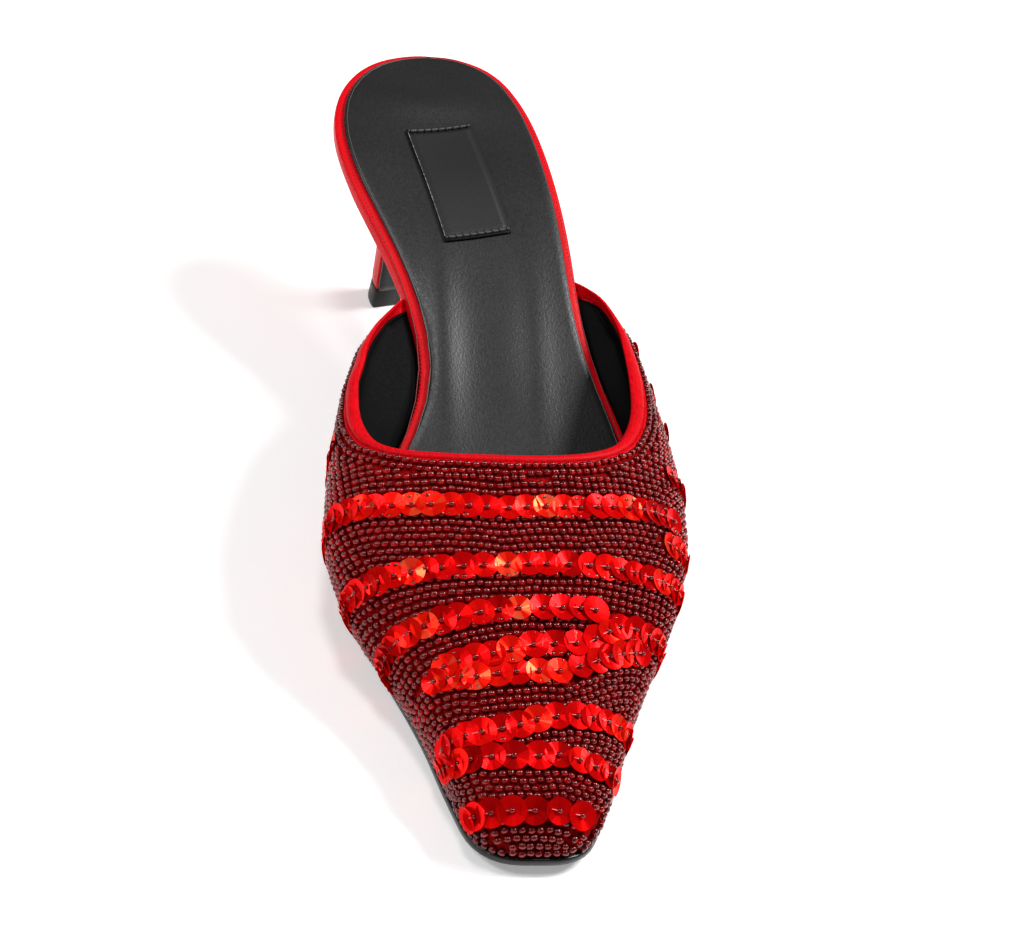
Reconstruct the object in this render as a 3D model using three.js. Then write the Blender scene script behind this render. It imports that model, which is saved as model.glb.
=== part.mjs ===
// Left sequin mule: square toe, throat cut straight across the vamp, two low wings and a slim covered heel.
// Toe at the low end of Y, inner (medial) side at the low end of X, floor at Z = 0.
import * as THREE from "three";
import { mergeVertices } from "three/addons/utils/BufferGeometryUtils.js";

// Driving dimensions, in millimetres
const SHOE_LENGTH = 241.2; // toe edge of the outsole to the back of the seat, along the floor
const FOOTBED_WIDTH = 73.3; // footbed across the ball
const SOLE_RISE = 58.8; // top of the outsole's line above the floor at the back of the seat
const INSTEP_RISE = 38.9; // crest of the vamp above the outsole at the throat
const VAMP_LENGTH = 90.8; // toe edge to the throat, along the floor
const WING_LENGTH = 82; // throat to the end of the wings
const WAIST_SWELL = 17.2; // furthest that a wing stands out past its feather line
const NOSE_LENGTH = 9; // length over which the toe box rounds up from the sole
const UPPER_WALL = 2.2; // vamp leather, lining and bead layer together
const WING_END_WALL = 1.1; // wall skived at the ends of the wings
const BINDING_WIDTH = 2.7;
const BINDING_CROWN = 0.5; // binding's roll above the vamp
const FIT_GAP = 0.3; // clearance between pieces that touch
const SEAM_GAP = 0.45; // clearance along the curved seam of the binding

const OUTSOLE_THICKNESS = 2.5;
const OUTSOLE_BEVEL = 0.7;
const WAIST_OUTSOLE_THICKNESS = 1.9;
const TOE_LEDGE = 1.2; // outsole edge that shows past the vamp at the toe
const WAIST_INSET = 1.6; // outsole edge inside the footbed's edge at the waist
const BREAST_AT = 184.6; // toe edge to the heel's breast under the seat

const TOE_BOARD = 2.4; // footbed thickness inside the toe box
const TOE_ROOM = 1.6; // footbed kept back from the rounding of the toe box
const SEAT_BOARD = 4; // footbed thickness at the waist and seat
const FOOTBED_ROLL = 0.9; // rounded upper edge of the wrapped footbed
const SOCK_THICKNESS = 0.8;
const SOCK_MARGIN = 2.2; // red edge left bare around the sock
const SEAT_HOLLOW = 1.2; // depth moulded into the seat
const SEAT_CENTRE_AT = 212;

const LABEL_WIDTH = 18.3;
const LABEL_LENGTH = 36.5;
const LABEL_THICKNESS = 0.5;
const LABEL_AT = 194.6; // toe edge to the label's centre
const LABEL_ASIDE = 1.3;
const LABEL_TURN = THREE.MathUtils.degToRad(12.4);

const TIP_WIDTH = 8.1;
const TIP_LENGTH = 8.4;
const TIP_AT = 212.85; // toe edge to the centre of the heel tip
const TIP_ASIDE = -10.4;
const TIP_TURN = THREE.MathUtils.degToRad(17);
const TOP_PIECE_HEIGHT = 6;
const TOP_PIECE_FLARE = 0.35; // top piece past the stem, each way
const TOP_PIECE_BEVEL = 0.4;
const CUP_INSET = 0.6; // heel cup inside the footbed's edge
const BREAST_COVER = 1.1;
const BREAST_SIDE_GAP = 0.25; // cover inside the edges of the breast

// Mesh fineness
const SIDE_STATIONS = 44;
const SEAT_CELLS_ACROSS = 6;
const VAMP_ROWS = 22;
const VAMP_COLUMNS = 46;
const BINDING_ROWS = 4;
const HEEL_STATIONS = 9;
const CURVE_STEPS = 1200;
const EDGE_STEPS = 500;
const HALVINGS = 40;
const ROW_CROWDING = 1.3; // exponent that gathers the rows of the vamp at the toe
const WAIST_CROWDING = 1.3; // exponent that gathers the outsole's stations at the toe
const CROWDED_SHARE = 0.6;

const MEDIAL = -1;
const LATERAL = 1;

// Footbed outline: place as a share of SHOE_LENGTH, edges as shares of FOOTBED_WIDTH
const FOOTBED_OUTLINE = [
  { at: 0.016, medial: -0.075, lateral: 0.085 },
  { at: 0.02, medial: -0.117, lateral: 0.115 },
  { at: 0.028, medial: -0.143, lateral: 0.14 },
  { at: 0.04, medial: -0.158, lateral: 0.158 },
  { at: 0.065, medial: -0.176, lateral: 0.191 },
  { at: 0.102, medial: -0.2, lateral: 0.239 },
  { at: 0.148, medial: -0.228, lateral: 0.298 },
  { at: 0.197, medial: -0.271, lateral: 0.366 },
  { at: 0.247, medial: -0.329, lateral: 0.431 },
  { at: 0.297, medial: -0.378, lateral: 0.493 },
  { at: 0.347, medial: -0.403, lateral: 0.545 },
  { at: 0.396, medial: -0.392, lateral: 0.58 },
  { at: 0.446, medial: -0.345, lateral: 0.596 },
  { at: 0.488, medial: -0.283, lateral: 0.586 },
  { at: 0.521, medial: -0.222, lateral: 0.56 },
  { at: 0.554, medial: -0.174, lateral: 0.52 },
  { at: 0.587, medial: -0.153, lateral: 0.477 },
  { at: 0.62, medial: -0.161, lateral: 0.447 },
  { at: 0.662, medial: -0.194, lateral: 0.426 },
  { at: 0.711, medial: -0.252, lateral: 0.416 },
  { at: 0.761, medial: -0.322, lateral: 0.404 },
  { at: 0.811, medial: -0.385, lateral: 0.384 },
  { at: 0.861, medial: -0.418, lateral: 0.357 },
  { at: 0.902, medial: -0.41, lateral: 0.328 },
  { at: 0.939, medial: -0.368, lateral: 0.287 },
  { at: 0.968, medial: -0.298, lateral: 0.235 },
  { at: 0.987, medial: -0.213, lateral: 0.168 },
  { at: 1, medial: -0.074, lateral: 0.05 },
];

// Top of the outsole: toe spring, flat tread, shank and seat, as shares of SHOE_LENGTH and SOLE_RISE
const SOLE_PROFILE = [
  { at: 0, rise: 0.084 },
  { at: 0.048, rise: 0.0655 },
  { at: 0.114, rise: 0.049 },
  { at: 0.197, rise: 0.0425 },
  { at: 0.323, rise: 0.0425 },
  { at: 0.35, rise: 0.047 },
  { at: 0.38, rise: 0.066 },
  { at: 0.421, rise: 0.113 },
  { at: 0.463, rise: 0.172 },
  { at: 0.512, rise: 0.258 },
  { at: 0.57, rise: 0.378 },
  { at: 0.629, rise: 0.498 },
  { at: 0.695, rise: 0.626 },
  { at: 0.761, rise: 0.74 },
  { at: 0.836, rise: 0.849 },
  { at: 0.91, rise: 0.928 },
  { at: 1, rise: 1 },
];

// Sections of the last over the sole. Swells are shares of WAIST_SWELL past the feather line, rises are
// shares of INSTEP_RISE above it, crestAside is a share of FOOTBED_WIDTH, and a tuck of 1 turns the wall's
// foot level.
const LAST_SECTIONS = [
  { at: 0.016, medialSwell: 0, lateralSwell: 0, medialRise: 0.1, lateralRise: 0.1, crestRise: 0.21,
    crestAside: 0.004, medialTuck: 0, lateralTuck: 0 },
  { at: 0.032, medialSwell: 0.025, lateralSwell: 0.03, medialRise: 0.115, lateralRise: 0.115, crestRise: 0.27,
    crestAside: 0.004, medialTuck: 0, lateralTuck: 0 },
  { at: 0.065, medialSwell: 0.057, lateralSwell: 0.063, medialRise: 0.155, lateralRise: 0.155, crestRise: 0.36,
    crestAside: 0.005, medialTuck: 0, lateralTuck: 0 },
  { at: 0.106, medialSwell: 0.097, lateralSwell: 0.065, medialRise: 0.2, lateralRise: 0.2, crestRise: 0.46,
    crestAside: 0.007, medialTuck: 0, lateralTuck: 0 },
  { at: 0.156, medialSwell: 0.193, lateralSwell: 0.09, medialRise: 0.254, lateralRise: 0.254, crestRise: 0.568,
    crestAside: 0.01, medialTuck: 0, lateralTuck: 0 },
  { at: 0.197, medialSwell: 0.286, lateralSwell: 0.151, medialRise: 0.314, lateralRise: 0.32, crestRise: 0.656,
    crestAside: 0.014, medialTuck: 0, lateralTuck: 0 },
  { at: 0.264, medialSwell: 0.49, lateralSwell: 0.255, medialRise: 0.438, lateralRise: 0.44, crestRise: 0.797,
    crestAside: 0.019, medialTuck: 0, lateralTuck: 0 },
  { at: 0.33, medialSwell: 0.495, lateralSwell: 0.245, medialRise: 0.53, lateralRise: 0.51, crestRise: 0.94,
    crestAside: 0.027, medialTuck: 0, lateralTuck: 0 },
  { at: 0.363, medialSwell: 0.46, lateralSwell: 0.19, medialRise: 0.55, lateralRise: 0.525, crestRise: 1.005,
    crestAside: 0.032, medialTuck: 0.08, lateralTuck: 0 },
  { at: 0.405, medialSwell: 0.48, lateralSwell: 0.11, medialRise: 0.53, lateralRise: 0.514, crestRise: 1.023,
    crestAside: 0.039, medialTuck: 0.26, lateralTuck: 0.03 },
  { at: 0.446, medialSwell: 0.592, lateralSwell: 0.04, medialRise: 0.49, lateralRise: 0.48, crestRise: 1.008,
    crestAside: 0.048, medialTuck: 0.5, lateralTuck: 0.1 },
  { at: 0.488, medialSwell: 0.77, lateralSwell: 0.055, medialRise: 0.43, lateralRise: 0.41, crestRise: 0.973,
    crestAside: 0.058, medialTuck: 0.8, lateralTuck: 0.22 },
  { at: 0.529, medialSwell: 0.98, lateralSwell: 0.18, medialRise: 0.345, lateralRise: 0.31, crestRise: 0.913,
    crestAside: 0.068, medialTuck: 1, lateralTuck: 0.4 },
  { at: 0.57, medialSwell: 1, lateralSwell: 0.345, medialRise: 0.24, lateralRise: 0.22, crestRise: 0.845,
    crestAside: 0.077, medialTuck: 1, lateralTuck: 0.6 },
  { at: 0.612, medialSwell: 0.75, lateralSwell: 0.47, medialRise: 0.15, lateralRise: 0.15, crestRise: 0.785,
    crestAside: 0.086, medialTuck: 1, lateralTuck: 0.82 },
  { at: 0.653, medialSwell: 0.27, lateralSwell: 0.41, medialRise: 0.08, lateralRise: 0.09, crestRise: 0.734,
    crestAside: 0.095, medialTuck: 1, lateralTuck: 0.97 },
  { at: 0.695, medialSwell: 0.05, lateralSwell: 0.13, medialRise: 0.045, lateralRise: 0.055, crestRise: 0.693,
    crestAside: 0.102, medialTuck: 1, lateralTuck: 1 },
  { at: 0.74, medialSwell: 0.03, lateralSwell: 0.04, medialRise: 0.045, lateralRise: 0.045, crestRise: 0.66,
    crestAside: 0.108, medialTuck: 1, lateralTuck: 1 },
];
const MEDIAL_FULLNESS = 2.6; // exponent of the section between its side and its crest
const LATERAL_FULLNESS = 1.9;
const NOSE_FULLNESS = 2.2;

// Topline seen from the side: shares of WING_LENGTH behind the throat, and shares of the throat's height
const TOPLINE = [
  { behind: -0.008, medial: 1.16, lateral: 1.17 },
  { behind: 0, medial: 1.015, lateral: 1.03 },
  { behind: 0.017, medial: 0.99, lateral: 1.015 },
  { behind: 0.046, medial: 0.964, lateral: 0.993 },
  { behind: 0.095, medial: 0.937, lateral: 0.973 },
  { behind: 0.168, medial: 0.918, lateral: 0.962 },
  { behind: 0.241, medial: 0.904, lateral: 0.96 },
  { behind: 0.412, medial: 0.888, lateral: 0.96 },
  { behind: 0.644, medial: 0.88, lateral: 0.96 },
  { behind: 0.8, medial: 0.878, lateral: 0.958 },
  { behind: 0.845, medial: 0.87, lateral: 0.957 },
  { behind: 0.875, medial: 0.76, lateral: 0.956 },
  { behind: 0.935, medial: 0.66, lateral: 0.948 },
  { behind: 0.965, medial: 0.6, lateral: 0.81 },
  { behind: 1, medial: 0.55, lateral: 0.7 },
];

// Heel: height as a share of the seat's height over the tip, and how far the section has spread to the seat
const HEEL_FLARE = [
  { rise: 0.27, spread: 0 },
  { rise: 0.42, spread: 0.02 },
  { rise: 0.55, spread: 0.08 },
  { rise: 0.67, spread: 0.22 },
  { rise: 0.765, spread: 0.42 },
  { rise: 0.85, spread: 0.66 },
  { rise: 0.925, spread: 0.88 },
  { rise: 1, spread: 1 },
];
const STEM_FULLNESS = 2;

const RED_LEATHER = { color: 0xc4101b, roughness: 0.38, metalness: 0 };
const BEADED_CLOTH = { color: 0x7a0b12, roughness: 0.45, metalness: 0 };
const BLACK_LEATHER = { color: 0x1b1b1d, roughness: 0.5, metalness: 0 };
const BLACK_SATIN = { color: 0x101012, roughness: 0.6, metalness: 0 };
const BLACK_SOLE = { color: 0x0c0c0d, roughness: 0.3, metalness: 0 };

// Column of a table as a smooth function that never overshoots its rows
function columnOf(rows, placeKey, valueKey) {
  const at = rows.map((row) => row[placeKey]);
  const value = rows.map((row) => row[valueKey]);
  const secant = at.slice(1).map((end, i) => (value[i + 1] - value[i]) / (end - at[i]));
  const slope = value.map((_, i) => {
    const before = secant[Math.max(i - 1, 0)];
    const after = secant[Math.min(i, secant.length - 1)];
    return before * after <= 0 ? 0 : (2 * before * after) / (before + after);
  });
  return (share) => {
    const within = THREE.MathUtils.clamp(share, at[0], at[at.length - 1]);
    const i = Math.max(at.findIndex((end) => end >= within) - 1, 0);
    const step = at[i + 1] - at[i];
    const t = (within - at[i]) / step;
    return (
      value[i] * (1 + 2 * t) * (1 - t) ** 2 +
      slope[i] * step * t * (1 - t) ** 2 +
      value[i + 1] * t * t * (3 - 2 * t) +
      slope[i + 1] * step * t * t * (t - 1)
    );
  };
}

// Heights along the shoe
const soleRise = columnOf(SOLE_PROFILE, "at", "rise");
const soleTop = (y) => SOLE_RISE * soleRise(y / SHOE_LENGTH);
const ease = (from, to, y) => THREE.MathUtils.smoothstep(y, from * SHOE_LENGTH, to * SHOE_LENGTH);
const TOE_END = FOOTBED_OUTLINE[5].at;
const FOREPART_START = FOOTBED_OUTLINE[7].at;
const TREAD_END = SOLE_PROFILE[4].at;
const WAIST_START = FOOTBED_OUTLINE[14].at;
const WAIST_FULL = FOOTBED_OUTLINE[16].at;
const SKIVE_END = FOOTBED_OUTLINE[18].at;
const waistShare = (y) => ease(TREAD_END, WAIST_START, y);
const boardThickness = (y) => THREE.MathUtils.lerp(TOE_BOARD, SEAT_BOARD, waistShare(y));
const outsoleBottom = (x, y) =>
  soleTop(y) - THREE.MathUtils.lerp(OUTSOLE_THICKNESS, WAIST_OUTSOLE_THICKNESS, waistShare(y));
const footbedBottom = (y) => soleTop(y) + FIT_GAP;
const HOLLOW_WIDTH = 0.25; // spread of the seat's hollow, as shares of FOOTBED_WIDTH
const HOLLOW_LENGTH = 0.33;
function seatHollow(x, y) {
  const across = x / (FOOTBED_WIDTH * HOLLOW_WIDTH);
  const along = (y - SEAT_CENTRE_AT) / (FOOTBED_WIDTH * HOLLOW_LENGTH);
  return SEAT_HOLLOW * Math.exp(-(across ** 2) - along ** 2);
}
const footbedTop = (x, y) => footbedBottom(y) + boardThickness(y) - seatHollow(x, y);
const sockTop = (x, y) => footbedTop(x, y) + FIT_GAP + SOCK_THICKNESS;

// One side of the footbed's outline as a curve from the middle of the toe to the middle of the back
function sideCurve(side) {
  const key = side === MEDIAL ? "medial" : "lateral";
  const corner = (row) => new THREE.Vector3(row[key] * FOOTBED_WIDTH, row.at * SHOE_LENGTH, 0);
  const rows = FOOTBED_OUTLINE.map(corner);
  const first = FOOTBED_OUTLINE[0];
  const last = FOOTBED_OUTLINE[FOOTBED_OUTLINE.length - 1];
  const middle = (row) => ((row.medial + row.lateral) / 2) * FOOTBED_WIDTH;
  const toe = new THREE.Vector3(middle(first), first.at * SHOE_LENGTH, 0);
  const back = new THREE.Vector3(middle(last), last.at * SHOE_LENGTH, 0);
  const curve = new THREE.CatmullRomCurve3([toe, ...rows, back], false, "centripetal");
  curve.arcLengthDivisions = CURVE_STEPS;
  return curve;
}
const sideCurves = { [MEDIAL]: sideCurve(MEDIAL), [LATERAL]: sideCurve(LATERAL) };

// Point and outward direction at a share of a side's length
function edgeAt(side, share) {
  const point = sideCurves[side].getPointAt(share);
  const along = sideCurves[side].getTangentAt(share);
  return { x: point.x, y: point.y, outX: side * along.y, outY: -side * along.x };
}

// A side's outline moved outwards by reach(y), as x for a given y
function offsetEdge(side, reach) {
  const line = [];
  for (let i = 0; i <= EDGE_STEPS; i++) {
    const edge = edgeAt(side, i / EDGE_STEPS);
    const out = reach(edge.y);
    line.push([edge.x + edge.outX * out, edge.y + edge.outY * out]);
  }
  return (y) => {
    let i = line.length - 2;
    while (i > 0 && line[i][1] > y) i--;
    const [x0, y0] = line[i];
    const [x1, y1] = line[i + 1];
    return THREE.MathUtils.mapLinear(THREE.MathUtils.clamp(y, y0, y1), y0, y1 + 1e-9, x0, x1);
  };
}

// Collects triangles and turns them into one closed solid that faces out
class Skin {
  corners = [];

  triangle(a, b, c) {
    const tiny = 1e-5;
    if (a.distanceTo(b) < tiny || b.distanceTo(c) < tiny || c.distanceTo(a) < tiny) return;
    this.corners.push(a, b, c);
  }

  quad(a, b, c, d) {
    this.triangle(a, b, c);
    this.triangle(a, c, d);
  }

  geometry() {
    let volume = 0;
    for (let i = 0; i < this.corners.length; i += 3) {
      const [a, b, c] = this.corners.slice(i, i + 3);
      volume += a.dot(b.clone().cross(c));
    }
    const ordered = volume < 0 ? this.corners.toReversed() : this.corners;
    const loose = new THREE.BufferGeometry().setFromPoints(ordered);
    const merged = mergeVertices(loose, 1e-4);
    merged.computeVertexNormals();
    return merged;
  }
}

// Layer of the sole between two sides. Each rim row has its reach past the outline and its height.
function soleLayer({ until = SHOE_LENGTH, reach, rim, cellsAcross = 1 }) {
  const sides = [MEDIAL, LATERAL].map((side) => {
    let end = 1;
    while (edgeAt(side, end).y > until) end -= 1 / (4 * EDGE_STEPS);
    return Array.from({ length: SIDE_STATIONS + 1 }, (_, i) => {
      const even = i / SIDE_STATIONS;
      const crowded = end < 1 ? even ** WAIST_CROWDING : (1 - Math.cos(Math.PI * even)) / 2;
      const edge = edgeAt(side, end * THREE.MathUtils.lerp(even, crowded, CROWDED_SHARE));
      if (end < 1 && i === SIDE_STATIONS) Object.assign(edge, { outX: side, outY: 0 });
      return edge;
    });
  });
  const place = (row, i, share) => {
    const [m, l] = sides.map((side) => side[i]);
    const outM = reach(m.y) + rim[row].out;
    const outL = reach(l.y) + rim[row].out;
    const x = THREE.MathUtils.lerp(m.x + m.outX * outM, l.x + l.outX * outL, share);
    const y = THREE.MathUtils.lerp(m.y + m.outY * outM, l.y + l.outY * outL, share);
    return new THREE.Vector3(x, y, rim[row].height(x, y));
  };
  const loop = [];
  for (let i = 0; i <= SIDE_STATIONS; i++) loop.push([i, 0]);
  for (let k = 1; k < cellsAcross; k++) loop.push([SIDE_STATIONS, k / cellsAcross]);
  for (let i = SIDE_STATIONS; i >= 0; i--) loop.push([i, 1]);
  for (let k = cellsAcross - 1; k > 0; k--) loop.push([0, k / cellsAcross]);
  const skin = new Skin();
  for (let row = 0; row < rim.length - 1; row++) {
    loop.forEach((here, n) => {
      const next = loop[(n + 1) % loop.length];
      skin.quad(place(row, ...here), place(row + 1, ...here), place(row + 1, ...next), place(row, ...next));
    });
  }
  const last = rim.length - 1;
  for (let i = 0; i < SIDE_STATIONS; i++) {
    for (let k = 0; k < cellsAcross; k++) {
      const [a, b] = [k / cellsAcross, (k + 1) / cellsAcross];
      skin.quad(place(0, i, a), place(0, i + 1, a), place(0, i + 1, b), place(0, i, b));
      skin.quad(place(last, i, a), place(last, i, b), place(last, i + 1, b), place(last, i + 1, a));
    }
  }
  return skin.geometry();
}

// Black outsole: ledge past the vamp at the toe, narrower than the footbed at the waist, cut at the breast
function outsole() {
  const toeReach = FIT_GAP + UPPER_WALL + TOE_LEDGE;
  const ballReach = FIT_GAP + UPPER_WALL;
  const reach = (y) => {
    const fore = THREE.MathUtils.lerp(toeReach, ballReach, ease(FOREPART_START, TREAD_END, y));
    return THREE.MathUtils.lerp(fore, -WAIST_INSET, ease(TREAD_END, WAIST_FULL, y));
  };
  const bevel = OUTSOLE_BEVEL;
  return soleLayer({
    until: BREAST_AT - FIT_GAP,
    reach,
    rim: [
      { out: -bevel, height: outsoleBottom },
      { out: 0, height: (x, y) => outsoleBottom(x, y) + bevel },
      { out: 0, height: (x, y) => soleTop(y) - bevel / 2 },
      { out: -bevel / 2, height: (x, y) => soleTop(y) },
    ],
  });
}

// Footbed board in its red wrap, with a rolled upper edge
const boardReach = (y) => -TOE_ROOM * (1 - ease(FOOTBED_OUTLINE[0].at, TOE_END, y));
function footbed() {
  const roll = FOOTBED_ROLL;
  const half = roll * (1 - Math.SQRT1_2);
  return soleLayer({
    reach: boardReach,
    cellsAcross: SEAT_CELLS_ACROSS,
    rim: [
      { out: -roll / 2, height: (x, y) => footbedBottom(y) },
      { out: 0, height: (x, y) => footbedBottom(y) + roll / 2 },
      { out: 0, height: (x, y) => footbedTop(x, y) - roll },
      { out: -half, height: (x, y) => footbedTop(x, y) - half },
      { out: -roll, height: footbedTop },
    ],
  });
}

function sockLining() {
  const bevel = SOCK_THICKNESS / 2;
  return soleLayer({
    reach: (y) => boardReach(y) - SOCK_MARGIN,
    cellsAcross: SEAT_CELLS_ACROSS,
    rim: [
      { out: 0, height: (x, y) => sockTop(x, y) - SOCK_THICKNESS },
      { out: 0, height: (x, y) => sockTop(x, y) - bevel },
      { out: -bevel, height: sockTop },
    ],
  });
}

// Closed sheet between an outer and an inner grid of points
function sheet(rows, columns, outer, inner) {
  const skin = new Skin();
  for (let i = 0; i < rows; i++) {
    for (let j = 0; j < columns; j++) {
      skin.quad(outer(i, j), outer(i + 1, j), outer(i + 1, j + 1), outer(i, j + 1));
      skin.quad(inner(i, j), inner(i, j + 1), inner(i + 1, j + 1), inner(i + 1, j));
    }
    for (const [j, turned] of [[0, false], [columns, true]]) {
      const rim = [outer(i, j), inner(i, j), inner(i + 1, j), outer(i + 1, j)];
      skin.quad(...(turned ? rim.toReversed() : rim));
    }
  }
  for (let j = 0; j < columns; j++) {
    for (const [i, turned] of [[0, true], [rows, false]]) {
      const rim = [outer(i, j), inner(i, j), inner(i, j + 1), outer(i, j + 1)];
      skin.quad(...(turned ? rim.toReversed() : rim));
    }
  }
  return skin.geometry();
}

function labelPatch() {
  const rows = 8;
  const columns = 4;
  const layer = (lift) => (i, j) => {
    const across = (j / columns - 0.5) * LABEL_WIDTH;
    const along = (i / rows - 0.5) * LABEL_LENGTH;
    const x = LABEL_ASIDE + across * Math.cos(LABEL_TURN) - along * Math.sin(LABEL_TURN);
    const y = LABEL_AT + across * Math.sin(LABEL_TURN) + along * Math.cos(LABEL_TURN);
    return new THREE.Vector3(x, y, sockTop(x, y) + lift);
  };
  return sheet(rows, columns, layer(FIT_GAP + LABEL_THICKNESS), layer(FIT_GAP));
}

// The last: sections over the sole, each from its medial feather point over the crest to its lateral one
const last = Object.fromEntries(
  Object.keys(LAST_SECTIONS[0])
    .filter((key) => key !== "at")
    .map((key) => [key, columnOf(LAST_SECTIONS, "at", key)]),
);
const SIDE_TURN = 0.2; // share of a section from the feather point to its widest point

// Surface of the last, or of a layer at some depth under it. The wall thins towards the ends of the wings.
const wallShare = (y) => THREE.MathUtils.lerp(1, WING_END_WALL / UPPER_WALL, ease(WAIST_START, SKIVE_END, y));
function lastLayer(fullDepth) {
  const front = FOOTBED_OUTLINE[0].at * SHOE_LENGTH - FIT_GAP - UPPER_WALL + fullDepth;
  const feather = {};
  for (const side of [MEDIAL, LATERAL]) {
    const tuck = side === MEDIAL ? last.medialTuck : last.lateralTuck;
    feather[side] = offsetEdge(side, (y) => FIT_GAP + (UPPER_WALL - fullDepth) * (1 - tuck(y / SHOE_LENGTH)));
  }
  const place = (y, turn) => {
    const share = y / SHOE_LENGTH;
    const depth = fullDepth * wallShare(y);
    const side = turn < 0.5 ? MEDIAL : LATERAL;
    const name = side === MEDIAL ? "medial" : "lateral";
    const round = THREE.MathUtils.clamp((y - front) / NOSE_LENGTH, 0, 1);
    const nose = (1 - (1 - round) ** NOSE_FULLNESS) ** (1 / NOSE_FULLNESS);
    const tuck = last[name + "Tuck"](share);
    const foot = { x: feather[side](y), z: footbedBottom(y) + depth * tuck };
    const wide = {
      x: foot.x + side * (WAIST_SWELL * last[name + "Swell"](share) - depth * tuck),
      z: footbedBottom(y) + INSTEP_RISE * last[name + "Rise"](share) * nose,
    };
    wide.z = Math.max(wide.z, foot.z);
    const crest = {
      x: FOOTBED_WIDTH * last.crestAside(share),
      z: footbedBottom(y) + (INSTEP_RISE * last.crestRise(share) - depth) * nose,
    };
    const fromFoot = Math.min(turn, 1 - turn);
    if (fromFoot <= SIDE_TURN) {
      const t = fromFoot / SIDE_TURN;
      const angle = (t * Math.PI) / 2;
      const up = THREE.MathUtils.lerp(t, 1 - Math.cos(angle), tuck);
      return new THREE.Vector3(
        THREE.MathUtils.lerp(foot.x, wide.x, Math.sin(angle)),
        y,
        THREE.MathUtils.lerp(foot.z, wide.z, up),
      );
    }
    const angle = (((fromFoot - SIDE_TURN) / (0.5 - SIDE_TURN)) * Math.PI) / 2;
    const power = 2 / (side === MEDIAL ? MEDIAL_FULLNESS : LATERAL_FULLNESS);
    return new THREE.Vector3(
      THREE.MathUtils.lerp(crest.x, wide.x, Math.max(Math.cos(angle), 0) ** power),
      y,
      THREE.MathUtils.lerp(wide.z, crest.z, Math.sin(angle) ** power),
    );
  };
  return { front, place };
}
const lastSurface = lastLayer(0);

// Topline: where the last meets the topline's side view, found for each turn round the section
const toplineMedial = columnOf(TOPLINE, "behind", "medial");
const toplineLateral = columnOf(TOPLINE, "behind", "lateral");
const throatHeight = footbedBottom(VAMP_LENGTH) + INSTEP_RISE;
const THROAT_TURNS = { medial: 0.3, lateral: 0.7 }; // turns where the throat becomes a wing's edge
function toplineHeight(y, turn) {
  const behind = (y - VAMP_LENGTH) / WING_LENGTH;
  const lateralShare = THREE.MathUtils.smoothstep(turn, THROAT_TURNS.medial, THROAT_TURNS.lateral);
  return throatHeight * THREE.MathUtils.lerp(toplineMedial(behind), toplineLateral(behind), lateralShare);
}
function toplineAt(turn) {
  let low = VAMP_LENGTH + TOPLINE[0].behind * WING_LENGTH;
  let high = VAMP_LENGTH + WING_LENGTH;
  for (let n = 0; n < HALVINGS; n++) {
    const y = (low + high) / 2;
    if (lastSurface.place(y, turn).z < toplineHeight(y, turn)) low = y;
    else high = y;
  }
  return low;
}
const toplineFine = Array.from({ length: CURVE_STEPS + 1 }, (_, n) => {
  const turn = n / CURVE_STEPS;
  const y = toplineAt(turn);
  return { turn, y, point: lastSurface.place(y, turn) };
});

// Even places along the topline, one for each column of the vamp
const toplineEnds = (() => {
  const length = [0];
  toplineFine.forEach((here, n) => {
    if (n > 0) length.push(length[n - 1] + here.point.distanceTo(toplineFine[n - 1].point));
  });
  const total = length[length.length - 1];
  return Array.from({ length: VAMP_COLUMNS + 1 }, (_, j) => {
    const wanted = (total * j) / VAMP_COLUMNS;
    const n = THREE.MathUtils.clamp(length.findIndex((at) => at >= wanted - 1e-6), 1, toplineFine.length - 1);
    const t = THREE.MathUtils.clamp((wanted - length[n - 1]) / (length[n] - length[n - 1]), 0, 1);
    return {
      turn: THREE.MathUtils.lerp(toplineFine[n - 1].turn, toplineFine[n].turn, t),
      y: THREE.MathUtils.lerp(toplineFine[n - 1].y, toplineFine[n].y, t),
    };
  });
})();

function distanceToTopline(layer, point) {
  let nearest = Infinity;
  const closest = new THREE.Vector3();
  for (let j = 0; j < VAMP_COLUMNS; j++) {
    const piece = new THREE.Line3(layer.topline[j], layer.topline[j + 1]);
    piece.closestPointToPoint(point, true, closest);
    nearest = Math.min(nearest, closest.distanceTo(point));
  }
  return nearest;
}

// Column j of the vamp, from the toe at share 0 to the topline at share 1
const TURN_LAG = 1.5; // exponent with which a column's turn drifts from the toe's to the topline's
function vampPoint(layer, j, share) {
  const end = toplineEnds[j];
  const turn = THREE.MathUtils.lerp(j / VAMP_COLUMNS, end.turn, share ** TURN_LAG);
  return layer.place(THREE.MathUtils.lerp(layer.front, end.y, share), turn);
}

// Share of column j that lies a given distance short of the topline, on each of the layers
function shareBeforeTopline(j, distance, layers) {
  let low = 0.5;
  let high = 1;
  for (let n = 0; n < HALVINGS; n++) {
    const share = (low + high) / 2;
    const short = (layer) => distanceToTopline(layer, vampPoint(layer, j, share)) > distance;
    if (layers.every(short)) low = share;
    else high = share;
  }
  return low;
}
const lining = lastLayer(UPPER_WALL);
for (const layer of [lastSurface, lining]) {
  layer.topline = toplineEnds.map((end) => layer.place(end.y, end.turn));
}
const columns = Array.from({ length: VAMP_COLUMNS + 1 }, (_, j) => j);
const vampEnd = columns.map((j) => shareBeforeTopline(j, BINDING_WIDTH + SEAM_GAP, [lastSurface, lining]));
const bindingStart = columns.map((j) => shareBeforeTopline(j, BINDING_WIDTH, [lastSurface]));

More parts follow.
